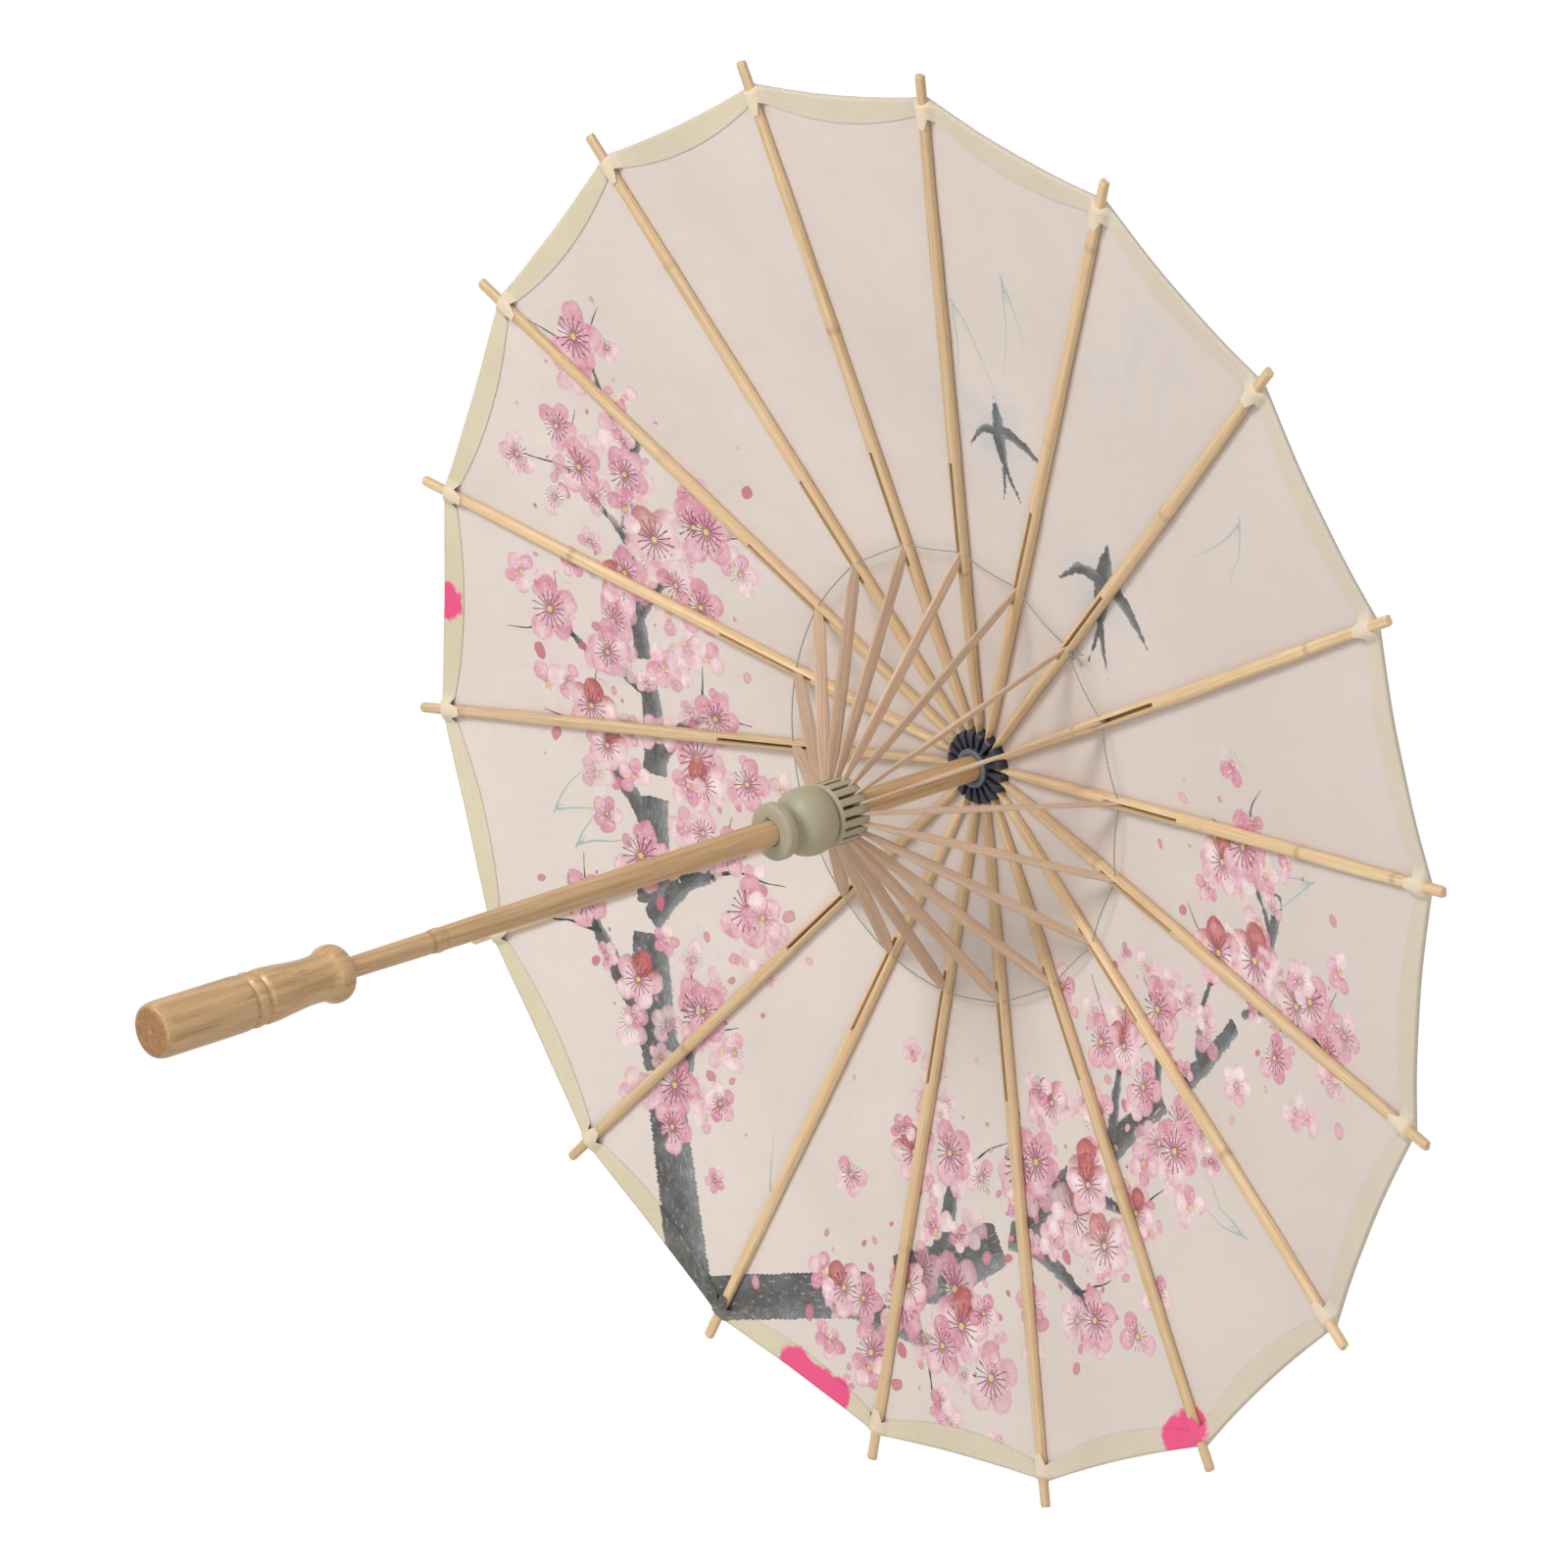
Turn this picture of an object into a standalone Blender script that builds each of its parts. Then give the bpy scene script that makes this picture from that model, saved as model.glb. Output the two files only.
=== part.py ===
"""Oil paper umbrella: a small bamboo parasol with 18 ribs, open.

Frame: the origin is the middle of the handle's flat end, +Z runs up the shaft to the crown
and rib 1 lies on +X. Lengths are in metres. Each rib and each stretcher has its origin on
the axis that it turns about.
"""
import math

import bmesh
import bpy
from mathutils import Matrix, Vector

# ---- driving dimensions -------------------------------------------------------------------
RIB_COUNT = 18
PITCH = 2 * math.pi / RIB_COUNT        # angle from one rib to the next
TIP_RADIUS = 0.2850                    # shaft axis to rib tip, open
RIB_SLOPE = math.radians(9.4)          # open rib, below level
RIB_PIVOT_R = 0.0100                   # ring of rib hinges in the top notch
RIB_PIVOT_Z = 0.4060
JOINT_R = 0.0911                       # ring where the stretchers meet the ribs
RUNNER_PIVOT_R = 0.0094                # ring of stretcher hinges in the runner
RUNNER_PIVOT_Z = 0.3320
GAP = 0.0003                           # clearance between touching pieces

HANDLE_LENGTH = 0.0870
HANDLE_RADIUS = 0.0104
HANDLE_BORE_DEPTH = 0.0310
SHAFT_FOOT_RADIUS = 0.0039             # inside the handle
SHAFT_TOP_RADIUS = 0.0051              # at the runner and above
SHAFT_TOP_Z = 0.4200
NODE_RING_Z = 0.1310                   # bamboo node, a raised ring
RUNNER_TOP_Z = RUNNER_PIVOT_Z + 0.0046
RUNNER_FOOT_Z = RUNNER_PIVOT_Z - 0.0359
RUNNER_HEAD_RADIUS = 0.0126
RUNNER_BELL_RADIUS = 0.0134
RUNNER_FLANGE_RADIUS = 0.0112
RUNNER_BORE_RADIUS = SHAFT_TOP_RADIUS + GAP
NOTCH_RADIUS = 0.0148
NOTCH_HUB_RADIUS = 0.0080              # solid middle of the notch, inside its slots
NOTCH_UNDER = 0.0040                   # notch below the rib hinges
NOTCH_OVER = 0.0045                    # and above them
CAP_RADIUS = 0.0190
CAP_TOP_Z = 0.4330

RIB_TOP = 0.0017                       # rib's straight top side above its hinge line
RIB_TONGUE = 0.0014                    # thickness of the rib's end in the notch slot
RIB_SHOULDER = 0.0073                  # hinge to the end of the tongue
MORTISE_WIDTH = 0.0024                 # slot in the rib that takes the stretcher
MORTISE_INWARD = 0.0080
MORTISE_OUTWARD = 0.0380
STRETCHER_WIDTH = 0.0052               # in the plane of the shaft
STRETCHER_THICKNESS = 0.0018
STRETCHER_TONGUE = 0.0010              # thickness of its end in the runner slot
NOTCH_SLOT = 0.0019
RUNNER_SLOT = 0.0014

CLOTH_THICKNESS = 0.0007
CLOTH_CORNER_R = 0.2750                # canopy corner on a rib
CLOTH_INNER_R = 0.0153
CLOTH_LIFT = RIB_TOP + GAP             # underside of the canopy above the hinge line

CATCH_THICKNESS = 0.0016
CATCH_SLOT = 0.0022

RIB_LENGTH = (TIP_RADIUS - RIB_PIVOT_R) / math.cos(RIB_SLOPE)
RIB_TO_JOINT = (JOINT_R - RIB_PIVOT_R) / math.cos(RIB_SLOPE)
JOINT_Z = RIB_PIVOT_Z - RIB_TO_JOINT * math.sin(RIB_SLOPE)
STRETCHER_LENGTH = math.hypot(JOINT_R - RUNNER_PIVOT_R, JOINT_Z - RUNNER_PIVOT_Z)
STRETCHER_SLOPE = math.atan2(JOINT_Z - RUNNER_PIVOT_Z, RUNNER_PIVOT_R - JOINT_R)
FINE = 0.00001                         # merge distance


# ---- scene, materials and helpers ---------------------------------------------------------
def clear_scene():
    """Remove every object that the file opened with."""
    for old in list(bpy.data.objects):
        bpy.data.objects.remove(old, do_unlink=True)


def new_collection(name):
    """A collection linked under the scene's own."""
    made = bpy.data.collections.new(name)
    bpy.context.scene.collection.children.link(made)
    return made


def principled(name, colour, roughness, metallic=0.0):
    """A Principled material of one colour."""
    made = bpy.data.materials.new(name)
    made.use_nodes = True
    shader = made.node_tree.nodes["Principled BSDF"]
    shader.inputs["Base Color"].default_value = (*colour, 1.0)
    shader.inputs["Roughness"].default_value = roughness
    shader.inputs["Metallic"].default_value = metallic
    return made


def add_object(name, mesh, collection, material=None):
    """Put a mesh in a collection as a named object."""
    made = bpy.data.objects.new(name, mesh)
    collection.objects.link(made)
    if material is not None and not mesh.materials:
        mesh.materials.append(material)
    return made


def smooth(mesh, angle=40.0):
    """Shade smooth, with edges over the angle kept sharp."""
    mesh.shade_smooth()
    mesh.set_sharp_from_angle(angle=math.radians(angle))


def turned(name, profile, steps, collection, material):
    """A solid of revolution about Z, from (radius, z) points that run down the outer side."""
    mesh = bpy.data.meshes.new(name)
    points = [(r, 0.0, z) for r, z in profile]
    ends_on_axis = profile[0][0] == 0.0 and profile[-1][0] == 0.0
    edges = [(i, i + 1) for i in range(len(points) - 1)]
    if not ends_on_axis:
        edges.append((len(points) - 1, 0))
    mesh.from_pydata(points, edges, [])
    made = add_object(name, mesh, collection, material)
    screw = made.modifiers.new("turn", "SCREW")
    screw.axis = "Z"
    screw.steps = steps
    screw.render_steps = steps
    screw.use_merge_vertices = True
    screw.merge_threshold = FINE
    screw.use_smooth_shade = True
    return made


def plate(name, outline, thickness, collection, material=None):
    """A flat outline of (x, z) points in the XZ plane, of the given thickness along Y."""
    shape = bmesh.new()
    corners = [shape.verts.new((x, -thickness / 2, z)) for x, z in outline]
    face = shape.faces.new(corners)
    side = bmesh.ops.extrude_face_region(shape, geom=[face])
    moved = [v for v in side["geom"] if isinstance(v, bmesh.types.BMVert)]
    bmesh.ops.translate(shape, verts=moved, vec=(0.0, thickness, 0.0))
    bmesh.ops.recalc_face_normals(shape, faces=shape.faces)
    mesh = bpy.data.meshes.new(name)
    shape.to_mesh(mesh)
    shape.free()
    return add_object(name, mesh, collection, material)


def box(name, low, high, collection):
    """A box between two corners."""
    shape = bmesh.new()
    bmesh.ops.create_cube(shape, size=1.0)
    size = Vector(high) - Vector(low)
    middle = (Vector(high) + Vector(low)) / 2
    bmesh.ops.scale(shape, vec=size, verts=shape.verts)
    bmesh.ops.translate(shape, vec=middle, verts=shape.verts)
    mesh = bpy.data.meshes.new(name)
    shape.to_mesh(mesh)
    shape.free()
    return add_object(name, mesh, collection)


def loft(sections):
    """A mesh through equal rings of points, with both ends closed."""
    shape = bmesh.new()
    rings = [[shape.verts.new(p) for p in ring] for ring in sections]
    for ring, following in zip(rings, rings[1:]):
        for i, here in enumerate(ring):
            j = (i + 1) % len(ring)
            shape.faces.new((here, ring[j], following[j], following[i]))
    shape.faces.new(rings[0])
    shape.faces.new(rings[-1])
    bmesh.ops.recalc_face_normals(shape, faces=shape.faces)
    mesh = bpy.data.meshes.new("loft")
    shape.to_mesh(mesh)
    shape.free()
    return mesh


def as_cutter(made):
    """Mark an object as a cutter that isn't part of the model."""
    made.hide_render = True
    made.display_type = "WIRE"
    return made


def cut(made, cutter):
    """Take the cutter's shape out of an object."""
    modifier = made.modifiers.new("cut", "BOOLEAN")
    modifier.operation = "DIFFERENCE"
    modifier.solver = "EXACT"
    modifier.object = cutter


def ring_of_plates(name, outline, thickness, collection):
    """One cutter made of a radial plate at each rib's azimuth."""
    single = plate(name + "_one", outline, thickness, collection)
    shape = bmesh.new()
    for i in range(RIB_COUNT):
        before = len(shape.verts)
        shape.from_mesh(single.data)
        shape.verts.ensure_lookup_table()
        turn = Matrix.Rotation(PITCH * i, 4, "Z")
        bmesh.ops.transform(shape, matrix=turn, verts=shape.verts[before:])
    mesh = bpy.data.meshes.new(name)
    shape.to_mesh(mesh)
    shape.free()
    bpy.data.objects.remove(single, do_unlink=True)
    return as_cutter(add_object(name, mesh, collection))


def evaluated_mesh(made):
    """The object's mesh with its modifiers applied, as new data."""
    graph = bpy.context.evaluated_depsgraph_get()
    return bpy.data.meshes.new_from_object(made.evaluated_get(graph))


# ---- turned pieces on the axis ------------------------------------------------------------
def make_handle(parts, wood):
    """Turned wooden grip: rounded end, two grooves with a bead, a waist and a flared collar."""
    bore = SHAFT_FOOT_RADIUS + GAP
    floor = HANDLE_LENGTH - HANDLE_BORE_DEPTH - GAP
    profile = [
        (0.0, floor), (bore, floor), (bore, HANDLE_LENGTH), (0.0075, HANDLE_LENGTH),
        (0.0093, 0.0863), (0.0103, 0.0846), (0.0106, 0.0818), (0.0103, 0.0789),
        (0.0095, 0.0760), (0.0089, 0.0727), (0.0087, 0.0690), (0.0089, 0.0650),
        (0.0095, 0.0595), (0.0100, 0.0545), (0.0102, 0.0500), (0.0100, 0.0487),
        (0.0093, 0.0479), (0.0094, 0.0472), (0.0100, 0.0464), (0.0102, 0.0448),
        (0.0100, 0.0432), (0.0094, 0.0424), (0.0093, 0.0417), (0.0100, 0.0409),
        (0.0103, 0.0396), (0.0104, 0.0250), (HANDLE_RADIUS, 0.0050), (0.0102, 0.0027),
        (0.0096, 0.0009), (0.0082, 0.0), (0.0, 0.0),
    ]
    return turned("handle", profile, 32, parts, wood)


def make_shaft(parts, cutters, bamboo):
    """Tapered bamboo stick with one node ring and a pocket for the catch."""
    foot = HANDLE_LENGTH - HANDLE_BORE_DEPTH
    profile = [
        (0.0, SHAFT_TOP_Z), (0.0047, SHAFT_TOP_Z), (0.0050, SHAFT_TOP_Z - 0.0006),
        (SHAFT_TOP_RADIUS, 0.3600), (SHAFT_TOP_RADIUS, 0.2900), (0.0048, 0.2200),
        (0.0044, NODE_RING_Z + 0.0120), (0.0043, NODE_RING_Z + 0.0028),
        (0.0046, NODE_RING_Z + 0.0010), (0.0046, NODE_RING_Z - 0.0010),
        (0.0042, NODE_RING_Z - 0.0026), (0.0040, 0.1050),
        (SHAFT_FOOT_RADIUS, HANDLE_LENGTH + 0.0030), (SHAFT_FOOT_RADIUS, foot), (0.0, foot),
    ]
    shaft = turned("shaft", profile, 24, parts, bamboo)
    low = (0.0006, -CATCH_SLOT / 2, RUNNER_FOOT_Z - 0.0165)
    high = (0.0080, CATCH_SLOT / 2, RUNNER_FOOT_Z + 0.0042)
    cut(shaft, as_cutter(box("catch_pocket", low, high, cutters)))
    return shaft


def make_runner(parts, cutters, plastic):
    """Sliding collar: slotted head, round bell, neck and end flange, with a notch for the catch.

    Each slot's floor falls outwards, which is the room that a stretcher's free end needs
    on the way from open to folded.
    """
    bell_z = RUNNER_PIVOT_Z - 0.0173
    bell_half = 0.0082
    neck = 0.0085
    bell = []
    for i in range(9):
        turn = math.radians(68 - 17 * i)
        swell = (RUNNER_BELL_RADIUS - neck) * math.cos(turn)
        bell.append((neck + swell, bell_z + bell_half * math.sin(turn)))
    profile = [
        (RUNNER_BORE_RADIUS, RUNNER_TOP_Z), (0.0116, RUNNER_TOP_Z),
        (RUNNER_HEAD_RADIUS, RUNNER_TOP_Z - 0.0010),
        (RUNNER_HEAD_RADIUS, RUNNER_PIVOT_Z - 0.0092), (0.0119, RUNNER_PIVOT_Z - 0.0096),
    ]
    profile += [p for p in bell if p[0] > 0.0112]
    profile += [
        (neck, RUNNER_FOOT_Z + 0.0070), (neck, RUNNER_FOOT_Z + 0.0055),
        (0.0104, RUNNER_FOOT_Z + 0.0050), (RUNNER_FLANGE_RADIUS, RUNNER_FOOT_Z + 0.0040),
        (RUNNER_FLANGE_RADIUS, RUNNER_FOOT_Z + 0.0010), (0.0103, RUNNER_FOOT_Z),
        (RUNNER_BORE_RADIUS, RUNNER_FOOT_Z),
    ]
    runner = turned("runner", profile, 36, parts, plastic)
    floor = [(0.0073, 0.0060), (0.0073, -0.0014), (0.0089, -0.0080), (0.0106, -0.0146),
             (0.0124, -0.0202), (0.0155, -0.0206), (0.0155, 0.0060)]
    outline = [(r, RUNNER_PIVOT_Z + z) for r, z in floor]
    cut(runner, ring_of_plates("runner_slots", outline, RUNNER_SLOT, cutters))
    low = (0.0040, -0.0013, RUNNER_FOOT_Z - 0.0020)
    high = (0.0078, 0.0013, RUNNER_FOOT_Z + 0.0036)
    cut(runner, as_cutter(box("catch_notch", low, high, cutters)))
    return runner


def make_top_notch(parts, cutters, plastic):
    """Slotted crown that the ribs hinge in: a hub, 18 fins and a closed top."""
    top = RIB_PIVOT_Z + NOTCH_OVER
    foot = RIB_PIVOT_Z - NOTCH_UNDER
    bore = SHAFT_TOP_RADIUS + GAP
    profile = [
        (bore, top), (NOTCH_RADIUS - 0.0010, top), (NOTCH_RADIUS, top - 0.0012),
        (NOTCH_RADIUS, foot + 0.0008), (NOTCH_RADIUS - 0.0008, foot), (bore, foot),
    ]
    notch = turned("top_notch", profile, 36, parts, plastic)
    ceiling = RIB_PIVOT_Z + RIB_TOP + 0.0012
    outline = [(NOTCH_HUB_RADIUS, foot - 0.0020), (0.0180, foot - 0.0020),
               (0.0180, ceiling), (NOTCH_HUB_RADIUS, ceiling)]
    cut(notch, ring_of_plates("notch_slots", outline, NOTCH_SLOT, cutters))
    return notch


def make_crown_cap(parts, plastic):
    """Cap over the canopy's middle, with a round knob, that takes the shaft's end."""
    under = RIB_PIVOT_Z + NOTCH_OVER + GAP
    socket = SHAFT_TOP_RADIUS + GAP
    profile = [
        (0.0, CAP_TOP_Z), (0.0020, CAP_TOP_Z - 0.0003), (0.0040, CAP_TOP_Z - 0.0014),
        (0.0053, CAP_TOP_Z - 0.0034), (0.0057, CAP_TOP_Z - 0.0058),
        (0.0054, CAP_TOP_Z - 0.0085), (0.0060, CAP_TOP_Z - 0.0110),
        (0.0085, CAP_TOP_Z - 0.0140), (0.0130, 0.4163), (0.0170, 0.4130),
        (0.0187, 0.4105), (CAP_RADIUS, 0.4088), (0.0182, 0.4086), (0.0176, 0.4100),
        (0.0160, under), (socket, under), (socket, SHAFT_TOP_Z + GAP), (0.0, SHAFT_TOP_Z + GAP),
    ]
    return turned("crown_cap", profile, 36, parts, plastic)


def make_catch(parts, steel):
    """Flat spring leaf in the shaft's pocket; its hook sits in the runner's notch."""
    foot = -0.0158
    hook_top = 0.0033
    outline = [(0.0032, foot), (0.0042, foot), (0.0042, -0.0036), (0.0071, 0.0006),
               (0.0071, hook_top), (0.0032, hook_top)]
    leaf = plate("catch_spring", outline, CATCH_THICKNESS, parts, steel)
    leaf.location = (0.0, 0.0, RUNNER_FOOT_Z)
    return leaf


# ---- the folding frame --------------------------------------------------------------------
def rib_section(at, width, depth):
    """Ring of points across a rib: flat top side, rounded underside."""
    low = RIB_TOP - depth
    half = width / 2
    side = [(half, RIB_TOP), (half, RIB_TOP - 0.55 * depth), (0.80 * half, low + 0.14 * depth),
            (0.40 * half, low)]
    ring = side + [(-y, z) for y, z in reversed(side)]
    return [Vector((at, y, z)) for y, z in ring]


def rib_mesh(cutters, bamboo):
    """One split bamboo rib along +X from its hinge, with the mortise for its stretcher."""
    rounded_end = 0.0014
    stations = [
        (-rounded_end, RIB_TONGUE, 0.0016), (-0.0008, RIB_TONGUE, 0.0030),
        (RIB_SHOULDER, RIB_TONGUE, 0.0032), (RIB_SHOULDER + 0.0016, 0.0030, 0.0033),
        (0.0200, 0.0035, 0.0035), (0.0400, 0.0040, 0.0038), (0.0680, 0.0046, 0.0040),
        (0.0920, 0.0051, 0.0040), (0.1300, 0.0052, 0.0038), (0.2200, 0.0047, 0.0032),
        (RIB_LENGTH - 0.0010, 0.0040, 0.0028), (RIB_LENGTH, 0.0034, 0.0024),
    ]
    sections = []
    for at, width, depth in stations:
        ring = rib_section(at, width, depth)
        drop = 0.0002 if at < 0 else 0.0
        sections.append([p - Vector((0.0, 0.0, drop)) for p in ring])
    blank = add_object("rib_blank", loft(sections), cutters)
    low = (RIB_TO_JOINT - MORTISE_INWARD, -MORTISE_WIDTH / 2, -0.0060)
    high = (RIB_TO_JOINT + MORTISE_OUTWARD, MORTISE_WIDTH / 2, 0.0060)
    mortise = as_cutter(box("rib_mortise", low, high, cutters))
    cut(blank, mortise)
    mesh = evaluated_mesh(blank)
    bpy.data.objects.remove(blank, do_unlink=True)
    mesh.name = "rib"
    smooth(mesh)
    mesh.materials.clear()
    mesh.materials.append(bamboo)
    return mesh


def stretcher_mesh(bamboo):
    """One flat strip on edge, along +X from the rib joint, thinned where it enters the runner."""
    length = STRETCHER_LENGTH
    stations = [
        (-0.0016, 0.0014, STRETCHER_THICKNESS), (-0.0008, 0.0030, STRETCHER_THICKNESS),
        (0.0010, 0.0034, STRETCHER_THICKNESS), (0.0120, STRETCHER_WIDTH, STRETCHER_THICKNESS),
        (length - 0.0300, STRETCHER_WIDTH, STRETCHER_THICKNESS),
        (length - 0.0165, 0.0048, STRETCHER_TONGUE), (length - 0.0105, 0.0041, STRETCHER_TONGUE),
        (length - 0.0065, 0.0030, STRETCHER_TONGUE), (length + 0.0006, 0.0028, STRETCHER_TONGUE),
        (length + 0.0014, 0.0014, STRETCHER_TONGUE),
    ]
    sections = []
    for at, width, thickness in stations:
        y, z = thickness / 2, width / 2
        sections.append([Vector((at, y, z)), Vector((at, -y, z)),
                         Vector((at, -y, -z)), Vector((at, y, -z))])
    mesh = loft(sections)
    mesh.name = "stretcher"
    mesh.materials.append(bamboo)
    return mesh


def sector_mesh(cloth):
    """One rib's share of the canopy: two flat half-gores that meet in a ridge on the rib.

    The mesh's origin is the rib's hinge, and X runs outwards from the shaft's axis.
    """
    half = PITCH / 2
    lift = CLOTH_LIFT / math.cos(RIB_SLOPE)
    side_gap = GAP / 2
    rows = 5
    grid = bmesh.new()
    lines = []
    for i in range(rows):
        rho = CLOTH_INNER_R + (CLOTH_CORNER_R - CLOTH_INNER_R) * i / (rows - 1)
        z = lift - (rho - RIB_PIVOT_R) * math.tan(RIB_SLOPE)
        fold = rho * math.cos(half)
        x, y = fold * math.cos(half), fold * math.sin(half) - side_gap
        row = [(x, -y, z), (rho, 0.0, z), (x, y, z)]
        lines.append([grid.verts.new((px - RIB_PIVOT_R, py, pz)) for px, py, pz in row])
    for line, following in zip(lines, lines[1:]):
        for j in range(2):
            grid.faces.new((line[j], following[j], following[j + 1], line[j + 1]))
    bmesh.ops.recalc_face_normals(grid, faces=grid.faces)
    mesh = bpy.data.meshes.new("canopy_sector")
    grid.to_mesh(mesh)
    grid.free()
    mesh.materials.append(cloth)
    return mesh


def make_canopy_sector(number, mesh, parts):
    """Place one canopy sector on its rib and give it the cloth's thickness upwards."""
    azimuth = PITCH * (number - 1)
    sector = add_object(f"canopy_sector_{number:02d}", mesh, parts)
    sector.location = (RIB_PIVOT_R * math.cos(azimuth), RIB_PIVOT_R * math.sin(azimuth), RIB_PIVOT_Z)
    sector.rotation_euler = (0.0, 0.0, azimuth)
    skin = sector.modifiers.new("thickness", "SOLIDIFY")
    skin.thickness = CLOTH_THICKNESS
    skin.offset = 1.0
    return sector


def make_arm(name, mesh, radius, height, slope, azimuth, parts):
    """Place a rib or a stretcher at its hinge, sloping down by the given angle."""
    arm = add_object(name, mesh, parts)
    arm.location = (radius * math.cos(azimuth), radius * math.sin(azimuth), height)
    arm.rotation_euler = (0.0, slope, azimuth)
    return arm


def main():
    clear_scene()
    parts = new_collection("oil_paper_umbrella")
    cutters = new_collection("cutters")
    wood = principled("lacquered_wood", (0.61, 0.38, 0.18), 0.35)
    shaft_bamboo = principled("shaft_bamboo", (0.51, 0.31, 0.13), 0.5)
    rib_bamboo = principled("rib_bamboo", (0.67, 0.46, 0.22), 0.55)
    strip_bamboo = principled("strip_bamboo", (0.67, 0.48, 0.34), 0.6)
    sage = principled("sage_plastic", (0.44, 0.43, 0.30), 0.4)
    charcoal = principled("charcoal_plastic", (0.03, 0.03, 0.04), 0.45)
    steel = principled("spring_steel", (0.45, 0.43, 0.40), 0.35, 1.0)
    cloth = principled("canopy_cloth", (0.78, 0.68, 0.62), 0.8)

    make_handle(parts, wood)
    make_shaft(parts, cutters, shaft_bamboo)
    make_runner(parts, cutters, sage)
    make_top_notch(parts, cutters, charcoal)
    make_crown_cap(parts, charcoal)
    make_catch(parts, steel)

    rib = rib_mesh(cutters, rib_bamboo)
    stretcher = stretcher_mesh(strip_bamboo)
    sector = sector_mesh(cloth)
    for number in range(1, RIB_COUNT + 1):
        azimuth = PITCH * (number - 1)
        make_arm(f"rib_{number:02d}", rib, RIB_PIVOT_R, RIB_PIVOT_Z, RIB_SLOPE, azimuth, parts)
        make_arm(f"stretcher_{number:02d}", stretcher, JOINT_R, JOINT_Z, STRETCHER_SLOPE,
                 azimuth, parts)
        make_canopy_sector(number, sector, parts)


main()
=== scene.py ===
# %% [markdown]
# Oil paper umbrella
#
# A small bamboo parasol, open, seen from below: a turned handle, a bamboo stick, a sliding
# collar with 18 stretchers, 18 split ribs and a printed canopy. Each moving piece is built
# where the measured frame has it and rides on that frame, so the umbrella still folds.

# %% Load the frame
import math
import bmesh
import bpy
import numpy as np
from mathutils import Matrix, Vector


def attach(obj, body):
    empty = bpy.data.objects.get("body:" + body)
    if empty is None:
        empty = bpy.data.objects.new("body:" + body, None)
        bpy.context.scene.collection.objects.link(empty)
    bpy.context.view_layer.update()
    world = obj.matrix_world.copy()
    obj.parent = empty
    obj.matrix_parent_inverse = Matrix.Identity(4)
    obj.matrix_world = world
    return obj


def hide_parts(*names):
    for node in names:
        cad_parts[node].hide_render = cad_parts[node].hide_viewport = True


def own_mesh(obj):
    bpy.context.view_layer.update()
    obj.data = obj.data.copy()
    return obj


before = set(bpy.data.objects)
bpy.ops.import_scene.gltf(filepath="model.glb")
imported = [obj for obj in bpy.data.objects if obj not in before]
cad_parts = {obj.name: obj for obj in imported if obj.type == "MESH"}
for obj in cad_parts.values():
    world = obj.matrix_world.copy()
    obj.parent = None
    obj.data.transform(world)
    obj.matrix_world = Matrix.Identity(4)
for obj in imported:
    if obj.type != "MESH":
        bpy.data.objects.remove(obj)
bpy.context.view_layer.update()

# %% [markdown]
# The main sizes are the ones that the frame was designed with, in metres. The ribs hinge in
# the top notch and fall away at a small slope; the stretchers run from a ring of joints on
# the ribs back to the runner. Keeping them as names lets every piece use the same geometry.

# %% Sizes of the frame
COUNT = 18
PITCH = 2 * math.pi / COUNT
SLOPE = math.radians(9.4)
TIP_R = 0.2850
HINGE_R, HINGE_Z = 0.0100, 0.4060
JOINT_R = 0.0911
RUN_R, RUN_Z = 0.0094, 0.3320
RIB_TOP = 0.0017
CLOTH_LIFT = 0.0020
CLOTH_RIM, CLOTH_INNER = 0.2750, 0.0153
CLOTH_THICK = 0.0006
RIB_LONG = (TIP_R - HINGE_R) / math.cos(SLOPE)
RIB_JOINT = (JOINT_R - HINGE_R) / math.cos(SLOPE)
JOINT_Z = HINGE_Z - RIB_JOINT * math.sin(SLOPE)
NUMBERS = range(1, COUNT + 1)
print("rib", round(1000 * RIB_LONG, 1), "mm, joint at", round(1000 * RIB_JOINT, 1), "mm")

# %% [markdown]
# The viewpoint is low and to the side of the handle, with the camera rolled so that the
# stick runs up to the right. A long lens gives the flat perspective of a catalogue picture.

# %% Camera
CAMERA_FAR, LENS = 2.7485, 167.0
aim = Vector((0.0166, 0.0023, 0.3058))
azimuth, elevation, roll = (math.radians(a) for a in (81.35, -39.55, 72.45))
back = Vector((math.cos(elevation) * math.cos(azimuth),
               math.cos(elevation) * math.sin(azimuth), math.sin(elevation)))
turn = back.to_track_quat("Z", "Y") @ Matrix.Rotation(roll, 3, "Z").to_quaternion()
camera_data = bpy.data.cameras.new("camera")
camera_data.lens = LENS
camera = bpy.data.objects.new("camera", camera_data)
camera.location = aim + CAMERA_FAR * back
camera.rotation_mode = "QUATERNION"
camera.rotation_quaternion = turn
bpy.context.scene.collection.objects.link(camera)
bpy.context.scene.camera = camera
right, up = turn @ Vector((1, 0, 0)), turn @ Vector((0, 1, 0))
print("camera at", [round(c, 3) for c in camera.location])

# %% [markdown]
# The studio is a white room: an even white surround, one big soft lamp above the camera and
# a weaker one opposite, and a pale floor far below the umbrella. The surround is
# full white where it is seen and dimmer as a light, so the lamps still shape the pieces.
# The floor lets the view through from beneath, where the camera stands under it.

# %% Surround, lamps and floor
ROOM_LIGHT, FLOOR_LIFT = 0.575, 0.26
FLOOR_Z, FLOOR_HALF = -1.62, 60


def srgb(r, g, b):
    """A colour given as 0 to 255 on screen, as the linear values that a shader wants."""
    c = np.array([r, g, b]) / 255.0
    linear = np.where(c < 0.04045, c / 12.92, ((c + 0.055) / 1.055) ** 2.4)
    return (*[float(x) for x in linear], 1.0)


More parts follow.
